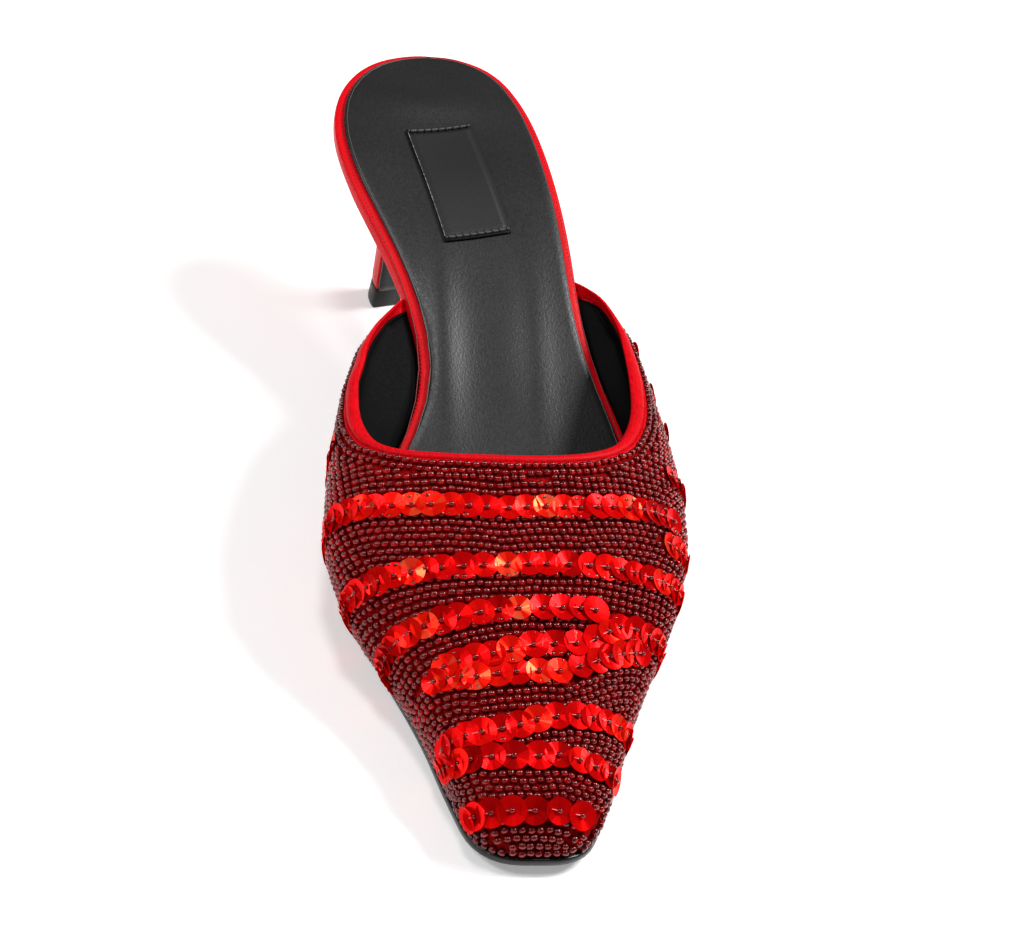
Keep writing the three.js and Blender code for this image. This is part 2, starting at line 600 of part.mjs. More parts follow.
// Vamp with its wings: one wall over the last, open at the topline and underneath
function upper() {
  const share = (i, j) => vampEnd[j] * (i / VAMP_ROWS) ** ROW_CROWDING;
  return sheet(
    VAMP_ROWS,
    VAMP_COLUMNS,
    (i, j) => vampPoint(lastSurface, j, share(i, j)),
    (i, j) => vampPoint(lining, j, share(i, j)),
  );
}

// Rolled binding along the throat and both wings
const ROLL_HEIGHT = 1.6; // height of the roll in crowns
const ROLL_LEAN = 0.8; // exponent that moves the roll's top towards its outer edge
function toplineBinding() {
  const layers = Array.from({ length: BINDING_ROWS + 1 }, (_, i) => {
    const t = i / BINDING_ROWS;
    const roll = BINDING_CROWN * (ROLL_HEIGHT * Math.sin(Math.PI * t ** ROLL_LEAN) - t);
    return { outside: lastLayer(-roll), inside: lastLayer(UPPER_WALL - BINDING_CROWN * t) };
  });
  const share = (i, j) => THREE.MathUtils.lerp(bindingStart[j], 1, i / BINDING_ROWS);
  return sheet(
    BINDING_ROWS,
    VAMP_COLUMNS,
    (i, j) => vampPoint(layers[i].outside, j, share(i, j)),
    (i, j) => vampPoint(layers[i].inside, j, share(i, j)),
  );
}

// Solid through rings, each a medial and a lateral line of points from front to back
function ladderLoft(rings) {
  const skin = new Skin();
  const loop = (ring) => [...ring.medial, ...ring.lateral.toReversed()];
  for (let k = 0; k < rings.length - 1; k++) {
    const [low, high] = [loop(rings[k]), loop(rings[k + 1])];
    low.forEach((_, n) => {
      const next = (n + 1) % low.length;
      skin.quad(low[n], high[n], high[next], low[next]);
    });
  }
  for (const [ring, turned] of [[rings[0], false], [rings[rings.length - 1], true]]) {
    for (let j = 0; j < ring.medial.length - 1; j++) {
      const rung = [ring.medial[j], ring.medial[j + 1], ring.lateral[j + 1], ring.lateral[j]];
      skin.quad(...(turned ? rung.toReversed() : rung));
    }
  }
  return skin.geometry();
}

// Heel section at a height share and spread: a D at the tip that opens into the seat's outline
const cupEdge = {
  [MEDIAL]: offsetEdge(MEDIAL, () => -CUP_INSET),
  [LATERAL]: offsetEdge(LATERAL, () => -CUP_INSET),
};
const seatHeightOverTip = soleTop(TIP_AT);
const CUP_BACK = FOOTBED_OUTLINE[FOOTBED_OUTLINE.length - 1].at * SHOE_LENGTH - CUP_INSET;
function heelRing(rise, spread, grow = 0) {
  const line = (side) =>
    Array.from({ length: HEEL_STATIONS + 1 }, (_, j) => {
      const angle = (j / HEEL_STATIONS) * (Math.PI / 2);
      const along = Math.sin(angle) ** (2 / STEM_FULLNESS);
      const across = Math.max(Math.cos(angle), 0) ** (2 / STEM_FULLNESS);
      const stem = new THREE.Vector2(
        side * across * (TIP_WIDTH / 2 + grow),
        (along - 0.5) * (TIP_LENGTH + 2 * grow),
      );
      stem.rotateAround(new THREE.Vector2(), TIP_TURN).add(new THREE.Vector2(TIP_ASIDE, TIP_AT));
      const seatY = THREE.MathUtils.lerp(BREAST_AT, CUP_BACK, along);
      const bothSides = (cupEdge[MEDIAL](seatY) + cupEdge[LATERAL](seatY)) / 2;
      const seat = new THREE.Vector2(j === HEEL_STATIONS ? bothSides : cupEdge[side](seatY), seatY);
      const flat = stem.lerp(seat, spread);
      const level = rise * seatHeightOverTip;
      const tilted = rise * soleTop(flat.y);
      return new THREE.Vector3(flat.x, flat.y, THREE.MathUtils.lerp(level, tilted, spread));
    });
  return { medial: line(MEDIAL), lateral: line(LATERAL) };
}
const stemFoot = (TOP_PIECE_HEIGHT + FIT_GAP) / seatHeightOverTip;
const heelRows = [{ rise: stemFoot, spread: 0 }, ...HEEL_FLARE];
const heelRings = heelRows.map(({ rise, spread }) => heelRing(rise, spread));

function heel() {
  return ladderLoft(heelRings);
}

function topPiece() {
  const bevel = TOP_PIECE_BEVEL;
  const at = (z, grow) => heelRing(z / seatHeightOverTip, 0, grow);
  return ladderLoft([
    at(0, TOP_PIECE_FLARE - bevel / 2),
    at(bevel, TOP_PIECE_FLARE),
    at(TOP_PIECE_HEIGHT - bevel, 0),
    at(TOP_PIECE_HEIGHT, -bevel / 2),
  ]);
}

// Flat cover on the breast, from the end of the outsole down to the top piece
function heelBreast() {
  const rings = heelRings.map((ring, k) => {
    const below = heelRings[Math.max(k - 1, 0)];
    const above = heelRings[Math.min(k + 1, heelRings.length - 1)];
    const across = ring.lateral[0].clone().sub(ring.medial[0]).normalize();
    const up = above.medial[0].clone().add(above.lateral[0]).sub(below.medial[0]).sub(below.lateral[0]);
    const forward = across.clone().cross(up).normalize().multiplyScalar(-1);
    if (forward.y > 0) forward.negate();
    const corner = (point, inward, out) =>
      point.clone().addScaledVector(across, inward * BREAST_SIDE_GAP).addScaledVector(forward, out);
    return {
      medial: [corner(ring.medial[0], 1, FIT_GAP), corner(ring.medial[0], 1, FIT_GAP + BREAST_COVER)],
      lateral: [corner(ring.lateral[0], -1, FIT_GAP), corner(ring.lateral[0], -1, FIT_GAP + BREAST_COVER)],
    };
  });
  return ladderLoft(rings.slice(0, -1));
}

function piece(name, geometry, finish) {
  const mesh = new THREE.Mesh(geometry, new THREE.MeshStandardMaterial(finish));
  mesh.name = name;
  return mesh;
}

const soleUnit = new THREE.Group();
soleUnit.add(
  piece("outsole", outsole(), BLACK_SOLE),
  piece("footbed", footbed(), RED_LEATHER),
  piece("sock_lining", sockLining(), BLACK_LEATHER),
  piece("label_patch", labelPatch(), BLACK_SATIN),
);

const upperUnit = new THREE.Group();
upperUnit.add(
  piece("upper", upper(), BEADED_CLOTH),
  piece("topline_binding", toplineBinding(), RED_LEATHER),
);

const heelUnit = new THREE.Group();
heelUnit.add(
  piece("heel", heel(), RED_LEATHER),
  piece("heel_breast", heelBreast(), BLACK_SOLE),
  piece("top_piece", topPiece(), BLACK_SOLE),
);

// The shoe stands on the floor, centred on its own plan
const shoe = new THREE.Group();
shoe.add(soleUnit, upperUnit, heelUnit);
const extent = new THREE.Box3().setFromObject(shoe);
const centre = extent.getCenter(new THREE.Vector3());
shoe.position.set(-centre.x, -centre.y, -extent.min.z);

export default shoe;
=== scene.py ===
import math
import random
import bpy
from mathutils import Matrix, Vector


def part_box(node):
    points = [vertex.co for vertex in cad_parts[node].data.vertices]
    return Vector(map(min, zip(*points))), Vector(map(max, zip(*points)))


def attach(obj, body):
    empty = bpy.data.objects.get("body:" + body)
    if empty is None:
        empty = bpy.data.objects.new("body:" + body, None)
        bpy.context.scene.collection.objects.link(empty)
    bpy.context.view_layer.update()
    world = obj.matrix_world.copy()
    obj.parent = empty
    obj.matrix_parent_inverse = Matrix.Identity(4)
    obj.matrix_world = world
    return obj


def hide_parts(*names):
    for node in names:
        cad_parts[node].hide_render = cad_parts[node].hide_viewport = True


bl_info = {
    "name": "Sequin Mule",
    "version": (1, 0, 0),
    "blender": (4, 5, 0),
    "location": "View3D > Sidebar > Mule",
    "description": "Dresses a beaded and sequinned mule around its packed frame",
    "category": "Object",
}

import bmesh
import bpy
from bpy.props import FloatProperty, FloatVectorProperty, IntProperty, PointerProperty
from mathutils import Matrix, Vector
from mathutils.bvhtree import BVHTree
from mathutils.kdtree import KDTree

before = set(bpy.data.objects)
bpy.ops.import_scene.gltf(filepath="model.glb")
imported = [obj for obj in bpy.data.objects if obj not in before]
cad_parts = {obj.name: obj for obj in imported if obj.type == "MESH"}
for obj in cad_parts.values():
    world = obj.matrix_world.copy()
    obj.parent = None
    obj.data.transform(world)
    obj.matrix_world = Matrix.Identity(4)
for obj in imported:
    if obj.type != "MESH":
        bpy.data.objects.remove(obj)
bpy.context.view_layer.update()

BODY = "root"
MM = 0.001

# Lengths and stations in the named values below are in millimetres, apart from the stage's.

# The line down the middle of the foot's space: station along the shoe, place across it and height
FOOT_LINE = (
    (-108, -3, 8),
    (-90, -1.5, 7.5),
    (-70, -1, 12),
    (-45, 0, 17),
    (-30, 0.5, 19),
    (-10, 1.5, 20),
    (0, 2, 21),
    (20, 4, 27),
    (30, 6, 31),
    (45, 8, 35),
)

# Rows across the vamp lie in planes. Ahead of the hinge the planes fan out over the toe, by the fan's
# angle for each millimetre of station.
HINGE_STATION = -90
HINGE_HEIGHT = -25
FAN = math.radians(1.27)
FAN_WIDEST = math.radians(45)
FAN_START = 32
FAN_GROWTH = 6
FAN_DRIFT = 3

# A row is swept over the vamp from just below the medial side to just below the lateral side. Each step
# is met by a ray of the sweep's reach, and two steps further apart than its gap split the row.
SWEEP_START = math.radians(-10)
SWEEP_END = math.radians(190)
SWEEP_STEPS = 96
SWEEP_REACH = 80
SWEEP_GAP = 9
WHOLE_ROW = (-0.12, 1.12)
CREST = 0.5


def between(table, place):
    """The value at a place in a table of (place, value) rows, on straight lines between them."""
    if place <= table[0][0]:
        return table[0][1]
    for (left, low), (right, high) in zip(table, table[1:]):
        if place <= right:
            return low + (high - low) * (place - left) / (right - left)
    return table[-1][1]


class Row:
    """A row of sequins: its path as (turn over the vamp, station) rows, and its first and last turn."""

    def __init__(self, path, run):
        self.path = path
        self.run = run

    def station(self, turn):
        return between(self.path, turn)

    def turn_at(self, share):
        return self.run[0] + (self.run[1] - self.run[0]) * share


# The sequin rows from the throat to the toe. Turn 0 is the medial side and 1 the lateral side.
SEQUIN_ROWS = (
    Row(
        ((0.0, -35.5), (0.11, -38.7), (0.22, -42.5), (0.41, -44.3), (0.67, -42.4), (0.85, -37.9)),
        (-0.04, 0.865),
    ),
    Row(
        ((0.0, -53.5), (0.14, -58.6), (0.39, -58.3), (0.56, -57.6), (0.82, -55.8), (0.95, -53.8)),
        (-0.04, 1.02),
    ),
    Row(
        ((0.0, -69.5), (0.12, -71.2), (0.26, -70.3), (0.40, -68.8), (0.54, -68.4), (0.74, -67.2)),
        (-0.02, 0.745),
    ),
    Row(
        ((0.20, -80.8), (0.33, -79.6), (0.49, -77.4), (0.69, -75.8), (0.79, -69.2), (0.95, -68)),
        (0.20, 0.98),
    ),
    Row(
        ((0.18, -82.6), (0.28, -84.4), (0.43, -83.9), (0.61, -83.2), (0.71, -79.8), (0.85, -73)),
        (0.17, 0.85),
    ),
    Row(
        ((0.0, -98), (0.19, -97.4), (0.35, -96.8), (0.50, -94.5), (0.64, -93.3), (0.9, -92)),
        (0.12, 0.94),
    ),
    Row(
        ((0.0, -99), (0.15, -103), (0.45, -103.4), (0.63, -103), (0.80, -105.1), (1.0, -107.5)),
        (0.0, 0.90),
    ),
    Row(((0.0, -117), (0.28, -115.3), (0.60, -115.2), (1.0, -118)), (0.11, 0.82)),
)
SIDE_CLUSTERS = (
    Row(((0.80, 22), (1.0, 23)), (0.88, 1.03)),
    Row(((0.80, 9), (1.0, 10)), (0.88, 1.03)),
    Row(((0.80, -5.5), (1.0, -4)), (0.87, 1.03)),
    Row(((0.80, -25), (1.0, -22.5)), (0.845, 1.03)),
    Row(((0.80, -45.5), (1.0, -43)), (0.85, 1.03)),
    Row(((0.0, -15.5), (0.2, -14)), (-0.04, 0.13)),
)

# The bead strips ahead of this row's index belong to the toe. Past the fanned station, rows draw together.
TOE_BEADS_FROM = 4
FANNED_FROM = HINGE_STATION + 4
FANNED_STEP = 0.94

# The cloth's open edge is the throat near the binding, and the feather edge where it runs along the sole.
THROAT_GAP = 1.6
JOINT_GAP = 2.6
FEATHER_GAP = 1.2
TOE_END = -104

# Bead rows: distances from the throat, from the toe's end and from a sequin row, and the most rows
THROAT_BEADS = (0.5, 2.4)
THROAT_BEAD_STRETCH = 1.04
TOE_END_BEADS = (0.9, 2.5)
FIRST_BEADS = 2.4
WING_ROWS = 50
STRIP_ROWS = 14
TOE_ROWS = 9

# The least distances between beads, and from beads to the throat, the feather edge and a sequin row's
# channel. A bead isn't sewn where the cloth faces down more steeply than the underside's normal.
BEAD_ROOM = 1.3
TOE_BEAD_ROOM = 1.42
THROAT_CLEARANCE = 3.5
FEATHER_CLEARANCE = 0.8
CHANNEL_CLEARANCE = 2.3
CHANNEL_STEP = 0.5
UNDERSIDE = -0.8

# A bead's half section, as shares of its length and its radius, the way towards which its painted glow lies
# (painted light that stands in for light leaving the glass), and how far its middle stands over the cloth,
# as a share of its width. The sways are in degrees and the slides in mm.
BEAD_SECTION = ((-0.5, 0.3), (-0.4, 0.82), (0.0, 1.0), (0.4, 0.82), (0.5, 0.3))
BEAD_SIDES = 8
BEAD_SEED = 11
# Painted light: the side of each bead that this way points to is painted bright, as if lit from inside
BEAD_PAINTED_GLOW_WAY = Vector((0, -0.95, 0.12))
BEAD_SEAT = 0.42
BEAD_SWAY = 16
BEAD_ROLL = 8
BEAD_SLIDE_ALONG = 0.15
BEAD_SLIDE_ACROSS = 0.2
BEAD_SCALES = (0.9, 1.06)
BEAD_FATNESS = (0.94, 1.06)

# Sequins crowd and lean towards the sides of the vamp. The leans and turns are in degrees.
CROWDED_TURN = 0.4
CROWDED_POWER = 1.6
SEQUIN_UNEVENNESS = (0.84, 1.16)
SEQUIN_SCALES = (0.93, 1.06)
SEQUIN_SWAY = 4
SEQUIN_NOD = 5
SEQUIN_FEATHER_CLEARANCE = 3.2
SEQUIN_SIDE_TURN = 0.45
SEQUIN_LEAN = 9
SEQUIN_LEAN_EASE = 3
SEQUIN_LIFT = 0.95
SEQUIN_LIFT_EASE = 0.25
SEQUIN_LEAN_LIFT = 0.1
SEQUIN_SLOPE = math.radians(11)
SEQUIN_HOLE = 0.17
SEQUIN_WALL = 0.1
CENTRE_BEAD_SCALE = 0.75
CENTRE_BEAD_LIFT = 0.55
CENTRE_BEAD_TINTS = (0.1, 0.6)
THREAD_RADIUS = 0.11
THREAD_LENGTHS = (1.4, 2.2)
THREAD_LIFT = 0.62
THREAD_SLOPE = -0.12

# The walls of the cloth and the lining, and the station and height from which both are met by a ray
CLOTH_WALL = 0.45
LINING_WALL = 0.35
UPPER_STATION = -60
UPPER_CLEARANCE = 60

# The lining's folded edge runs where the lining is near the binding. The seam on the binding closes it
# against the cloth, at a share of the way from one to the other.
LINING_EDGE_GAP = 2.4
LINING_EDGE_LIFT = 0.25
LINING_EDGE_SHARE = 0.2
SEAM_SHARE = 0.45

# The stations where the medial and the lateral wing end. The ends tuck in, back and down.
WING_TIPS = (41, 48.2)
TUCK_LENGTH = 9
TUCK_DEPTH = 3
TUCK_BACK = 0.4
TUCK_DOWN = 0.25

# The last stretch of the sole before the heel, which is drawn back and up
SOLE_END_START = 57.6
SOLE_END_LENGTH = 6
SOLE_END_REACH = 3.2
SOLE_END_RISE = 1.6

# The label on the sock. An inset is measured from the edge that a fold or a row of stitches runs along,
# and a margin from the two edges where it ends.
LABEL_WIDTH = 18.3
LABEL_LENGTH = 36.5
LABEL_TURN = math.radians(12.4)
FOLD_INSET = 0.75
FOLD_MARGIN = 0.3
END_STITCH_INSET = 0.9
END_STITCH_MARGIN = 1
END_STITCH_SIZE = (1.5, 0.75, 0.5)
SIDE_STITCH_INSET = 1.9
SIDE_STITCH_MARGIN = 1.75
SIDE_STITCH_SIZE = (0.45, 0.3, 0.2)
PALE_EDGE_INSET = 0.12
PALE_EDGE_MARGIN = 1.2
LABEL_SEED = 5
LABEL_CLEARANCE = 20
STITCH_SWAY = 9

# The footbed's wrap, and the stitched seam on its red margin round the sock
WRAP_SWELL = 0.35
RIM_SEAM_OUTSET = 0.25
RIM_STITCH_PITCH = 1.15
RIM_STITCH_SIZE = (0.55, 0.24, 0.3)

# A point over the seat, from which the sock and the footbed are met by a ray downwards
OVER_SEAT = Vector((3, 30, 90)) * MM

# The stage, in metres, degrees and watts. A lamp's row is its name, place, width and power.
CAMERA_PLACE = (-0.126395, -0.442413, 0.379313)
CAMERA_TURN = (51.145, -9.966, -8.894)
CAMERA_LENS = 81.785
CAMERA_SENSOR = 36
FLOOR_SIZE = 4
FLOOR_GLOW = 0.3
WORLD_LIGHT = 0.15
BACKDROP_LIGHT = 0.45
LAMPS = (
    ("key", (0.85, 0.15, 1.0), 0.5, 18.0),
    ("fill", (-0.95, 0.05, 0.95), 0.45, 6.0),
    ("strip", (-0.16, 0.06, 1.2), 0.22, 3.6),
    ("spark right", (0.8, -0.2, 1.0), 0.07, 1.3),
    ("spark left", (-0.6, -0.25, 1.05), 0.07, 1.0),
)

WHITE = (1, 1, 1, 1)
RED_GLOSS = (1, 0.35, 0.35, 1)


class MuleSizes(bpy.types.PropertyGroup):
    bead_length: FloatProperty(
        name="Bead length", description="Length of a seed bead along its thread",
        default=1.7 * MM, unit="LENGTH",
    )
    bead_width: FloatProperty(
        name="Bead width", description="Diameter of a seed bead", default=1.6 * MM, unit="LENGTH"
    )
    bead_pitch: FloatProperty(
        name="Bead pitch", description="Distance from bead to bead on a thread",
        default=1.95 * MM, unit="LENGTH",
    )
    row_pitch: FloatProperty(
        name="Row pitch", description="Distance from one bead row to the next",
        default=1.75 * MM, unit="LENGTH",
    )
    sequin_width: FloatProperty(
        name="Sequin width", description="Diameter of a sequin", default=6.6 * MM, unit="LENGTH"
    )
    sequin_pitch: FloatProperty(
        name="Sequin pitch", description="Distance between sequins on the crest",
        default=5.1 * MM, unit="LENGTH",
    )
    sequin_crowding: FloatProperty(
        name="Sequin crowding", description="Distance between sequins at the sides",
        default=2.0 * MM, unit="LENGTH",
    )
    sequin_facets: IntProperty(
        name="Sequin facets", description="Flat sides of a cupped sequin", default=8
    )


class MuleColours(bpy.types.PropertyGroup):
    red_leather: FloatVectorProperty(
        name="Red leather", description="Leather of the rim, the binding and the heel", subtype="COLOR",
        size=4, default=(0.62, 0.001, 0.006, 1),
    )
    black_leather: FloatVectorProperty(
        name="Black leather", description="Leather of the sock and the lining", subtype="COLOR",
        size=4, default=(0.012, 0.012, 0.012, 1),
    )
    bead: FloatVectorProperty(
        name="Bead glass", description="Wine-red glass of the beads", subtype="COLOR",
        size=4, default=(0.14, 0.0006, 0.0012, 1),
    )
    sequin: FloatVectorProperty(
        name="Sequin", description="Bright red of the sequins", subtype="COLOR",
        size=4, default=(0.82, 0.0015, 0.0025, 1),
    )


def sizes():
    return bpy.context.scene.mule_sizes


def colours():
    return bpy.context.scene.mule_colours


class Finish:
    """A material being made: its shader, and short calls for the nodes that feed it."""

    def __init__(self, name, colour, roughness, gloss=0.5, gloss_tint=WHITE, sockets=()):
        self.material = bpy.data.materials.new(name)
        self.material.use_nodes = True
        self.material.diffuse_color = colour
        self.tree = self.material.node_tree
        self.shader = self.tree.nodes["Principled BSDF"]
        constants = {"Base Color": colour, "Roughness": roughness}
        constants.update({"Specular IOR Level": gloss, "Specular Tint": gloss_tint})
        constants.update(sockets)
        for socket, value in constants.items():
            self.shader.inputs[socket].default_value = value
        self.place = self.add("ShaderNodeTexCoord").outputs["Object"]

    def add(self, kind, inputs=(), **settings):
        node = self.tree.nodes.new(kind)
        for setting, value in settings.items():
            setattr(node, setting, value)
        for socket, value in dict(inputs).items():
            if isinstance(value, bpy.types.NodeSocket):
                self.tree.links.new(value, node.inputs[socket])
            else:
                node.inputs[socket].default_value = value
        return node

    def stretched(self, scale, turn=(0, 0, 0)):
        """Object coordinates, turned and stretched."""
        inputs = {"Vector": self.place, "Scale": scale, "Rotation": turn}
        return self.add("ShaderNodeMapping", inputs).outputs["Vector"]

    def noise(self, scale, detail, vector=None, roughness=0.5):
        inputs = {"Vector": vector or self.place, "Scale": scale, "Detail": detail, "Roughness": roughness}
        return self.add("ShaderNodeTexNoise", inputs).outputs["Fac"]

    def pores(self, scale):
        inputs = {"Vector": self.place, "Scale": scale}
        return self.add("ShaderNodeTexVoronoi", inputs, feature="F1").outputs["Distance"]

    def threads(self, scale, direction):
        """Fine parallel threads that lie across a direction."""
        inputs = {"Vector": self.place, "Scale": scale, "Distortion": 0.6}
        return self.add("ShaderNodeTexWave", inputs, bands_direction=direction).outputs["Fac"]

    def attribute(self, name):
        return self.add("ShaderNodeAttribute", attribute_name=name).outputs["Fac"]

    def spread(self, source, low, high, start=0.0, end=1.0):
        """The source's span from start to end, made a span from low to high."""
        inputs = {"Value": source, "From Min": start, "From Max": end, "To Min": low, "To Max": high}
        return self.add("ShaderNodeMapRange", inputs).outputs["Result"]

    def sum(self, first, second, share):
        """The first source and a share of the second."""
        inputs = {0: second, 1: share, 2: first}
        return self.add("ShaderNodeMath", inputs, operation="MULTIPLY_ADD").outputs[0]

    def product(self, first, second):
        return self.add("ShaderNodeMath", {0: first, 1: second}, operation="MULTIPLY").outputs[0]

    def feed(self, socket, source):
        self.tree.links.new(source, self.shader.inputs[socket])

    def colour(self, source, *stops):
        """Lets the colour follow the source, through (place, colour) stops."""
        node = self.add("ShaderNodeValToRGB", {"Fac": source})
        while len(node.color_ramp.elements) < len(stops):
            node.color_ramp.elements.new(0.5)
        for element, (place, colour) in zip(node.color_ramp.elements, stops):
            element.position = place
            element.color = colour
        self.feed("Base Color", node.outputs["Color"])

    def roughen(self, source, low, high, start=0.0, end=1.0):
        """Lets the roughness follow the source, from low to high."""
        self.feed("Roughness", self.spread(source, low, high, start, end))

    def bump(self, height, depth, strength):
        """Raises the surface by the height's source. The depth is in millimetres."""
        inputs = {"Height": height, "Distance": depth * MM, "Strength": strength}
        self.feed("Normal", self.add("ShaderNodeBump", inputs).outputs["Normal"])


def finish_of(make):
    """The material that a finish function makes, made the first time that it is asked for."""
    name = make.__name__.replace("_", " ")
    return bpy.data.materials.get(name) or make(name).material


def shade(colour, share):
    return (colour[0] * share, colour[1] * share, colour[2] * share, 1)


def red_leather(name):
    colour = tuple(colours().red_leather)
    finish = Finish(name, colour, 0.42, gloss=0.22, gloss_tint=RED_GLOSS)
    finish.colour(finish.noise(60, 3), (0.3, shade(colour, 0.88)), (0.7, shade(colour, 1.08)))
    grain = finish.noise(1500, 3, finish.stretched((1, 0.55, 1), (0, 0, 0.6)))
    finish.roughen(grain, 0.36, 0.52, 0.3, 0.7)
    finish.bump(finish.sum(grain, finish.pores(900), 0.5), 0.12, 0.45)
    return finish


def binding_leather(name):
    """The same leather cut on the bias: its grain runs slantwise round the binding."""
    colour = tuple(colours().red_leather)
    finish = Finish(name, colour, 0.5, gloss=0.16, gloss_tint=RED_GLOSS)
    ribs = finish.noise(2600, 2, finish.stretched((1, 0.2, 0.6), (0, 0, 0.8)), 0.55)
    finish.colour(ribs, (0.3, shade(colour, 0.65)), (0.62, shade(colour, 1.02)))
    finish.roughen(ribs, 0.42, 0.6, 0.3, 0.7)
    finish.bump(ribs, 0.14, 0.6)
    return finish


def sock_leather(name):
    """Fine black leather with faint wrinkles and pores."""
    colour = tuple(colours().black_leather)
    finish = Finish(name, colour, 0.34, gloss=0.3)
    finish.colour(finish.noise(45, 3), (0.3, shade(colour, 0.85)), (0.7, shade(colour, 1.25)))
    wrinkles = finish.noise(1500, 4, finish.stretched((1, 0.5, 1), (0, 0, -0.5)), 0.6)
    finish.roughen(wrinkles, 0.3, 0.42, 0.3, 0.7)
    finish.bump(finish.sum(wrinkles, finish.pores(1900), 0.35), 0.1, 0.45)
    return finish


def lining_leather(name):
    """The sock's black leather with its dull side out, darkened to a third: painted shade inside the wings.
    """
    finish = Finish(name, shade(tuple(colours().black_leather), 0.35), 0.6, gloss=0.03)
    grain = finish.noise(1500, 4, roughness=0.6)
    finish.roughen(grain, 0.52, 0.68, 0.3, 0.7)
    finish.bump(grain, 0.07, 0.3)
    return finish


def sole_edge(name):
    """Black sole leather, inked and waxed, with faint scuffs along it."""
    coat = {"Coat Weight": 0.12, "Coat Roughness": 0.1}
    finish = Finish(name, (0.005, 0.005, 0.0055, 1), 0.26, gloss=0.3, sockets=coat)
    finish.roughen(finish.noise(220, 4, finish.stretched((1, 0.2, 1)), 0.6), 0.16, 0.34, 0.35, 0.75)
    finish.bump(finish.noise(1200, 2), 0.04, 0.4)
    return finish


def heel_rubber(name):
    finish = Finish(name, (0.012, 0.012, 0.013, 1), 0.42, gloss=0.3)
    grain = finish.noise(1600, 2)
    finish.roughen(grain, 0.36, 0.5, 0.3, 0.7)
    finish.bump(grain, 0.06, 0.4)
    return finish


def label_satin(name):
    finish = Finish(name, (0.007, 0.007, 0.007, 1), 0.5, gloss=0.28)
    warp = finish.threads(1500, "X")
    weft = finish.threads(1300, "Y")
    finish.roughen(warp, 0.42, 0.6)
    finish.bump(finish.sum(warp, weft, 0.8), 0.02, 0.3)
    return finish


def base_cloth(name):
    finish = Finish(name, (0.3, 0.001, 0.002, 1), 0.85, gloss=0.05)
    threads = finish.noise(1400, 3)
    finish.colour(threads, (0.32, (0.1, 0.0004, 0.0006, 1)), (0.66, (0.4, 0.001, 0.002, 1)))
    finish.bump(threads, 0.2, 0.7)
    return finish


def bead_glass(name):
    """Wine-red glass, with painted shade on top and a painted glow low on the toe side, for light leaving it.
    """
    colour = tuple(colours().bead)
    finish = Finish(name, colour, 0.1, gloss=0.6, gloss_tint=(1, 0.75, 0.75, 1))
    brightness = finish.spread(finish.attribute("tint"), 0.55, 1.12)
    # Painted light: a low glow gives painted shade, and a high glow gives a painted bright red where light
    # would leave the glass
    finish.colour(
        finish.product(finish.attribute("glow"), brightness),
        (0.0, shade(colour, 0.7)),
        (0.35, shade(colour, 1.2)),
        (0.65, shade(colour, 3.2)),
        (0.9, (0.85, 0.004, 0.006, 1)),
    )
    finish.roughen(finish.noise(500, 1), 0.04, 0.1)
    return finish


def sequin_foil(name):
    """Glossy red film. Each disc has a random tint and each facet adds its own share, a painted reflection;
    where both run high the film turns orange or pale, painted glints.
    """
    colour = tuple(colours().sequin)
    film = {"Metallic": 0.6, "Coat Weight": 0.02, "Coat Roughness": 0.08}
    finish = Finish(name, colour, 0.26, gloss=0.12, gloss_tint=(1, 0.25, 0.2, 1), sockets=film)
    tint = finish.spread(finish.attribute("tint"), 0.0, 0.84)
    # The facet share and the orange and pale stops are painted reflection on the cupped facets
    finish.colour(
        finish.sum(tint, finish.attribute("facet"), 0.16),
        (0.0, shade(colour, 0.45)),
        (0.25, shade(colour, 0.8)),
        (0.62, colour),
        (0.88, (1.0, 0.01, 0.003, 1)),
        (0.98, (1.0, 0.1, 0.035, 1)),
    )
    finish.roughen(finish.noise(350, 2), 0.16, 0.3)
    return finish


def seam_thread(name):
    """Dark red thread and the shadow in the seam that it sits in."""
    finish = Finish(name, (0.16, 0.001, 0.004, 1), 0.55)
    finish.roughen(finish.noise(2500, 1), 0.45, 0.65)
    return finish


def black_thread(name):
    finish = Finish(name, (0.006, 0.006, 0.006, 1), 0.6)
    finish.roughen(finish.noise(2500, 1), 0.5, 0.7)
    return finish


# Clear thread whose pale pink colour is a painted highlight along it, over the red beneath
def clear_thread(name):
    finish = Finish(name, (0.8, 0.22, 0.22, 1), 0.25, sockets={"Coat Weight": 0.5})
    finish.roughen(finish.noise(2000, 1), 0.2, 0.35)
    return finish


def cut_edge(name):
    """Burnished edge of black leather, greyer than its face."""
    finish = Finish(name, (0.05, 0.05, 0.05, 1), 0.4)
    finish.roughen(finish.noise(1800, 2), 0.35, 0.5)
    return finish


def pale_edge(name):
    """Frayed edge of the label, where its warp shows grey."""
    finish = Finish(name, (0.22, 0.21, 0.2, 1), 0.6)
    finish.colour(finish.noise(1500, 3), (0.4, (0.05, 0.05, 0.05, 1)), (0.65, (0.35, 0.34, 0.32, 1)))
    return finish


def studio_floor(name):
    glow = {"Emission Color": WHITE, "Emission Strength": FLOOR_GLOW}
    finish = Finish(name, (0.9, 0.9, 0.9, 1), 0.6, sockets=glow)
    finish.roughen(finish.noise(6, 2), 0.55, 0.65)
    return finish


def new_piece(name, mesh, finish, replaces=()):
    """Adds the mesh to the scene as a named piece of the shoe."""
    piece = bpy.data.objects.new(name, mesh)
    bpy.context.scene.collection.objects.link(piece)
    mesh.materials.clear()
    mesh.materials.append(finish_of(finish))
    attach(piece, BODY)
    if replaces:
        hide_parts(*replaces)
    return piece


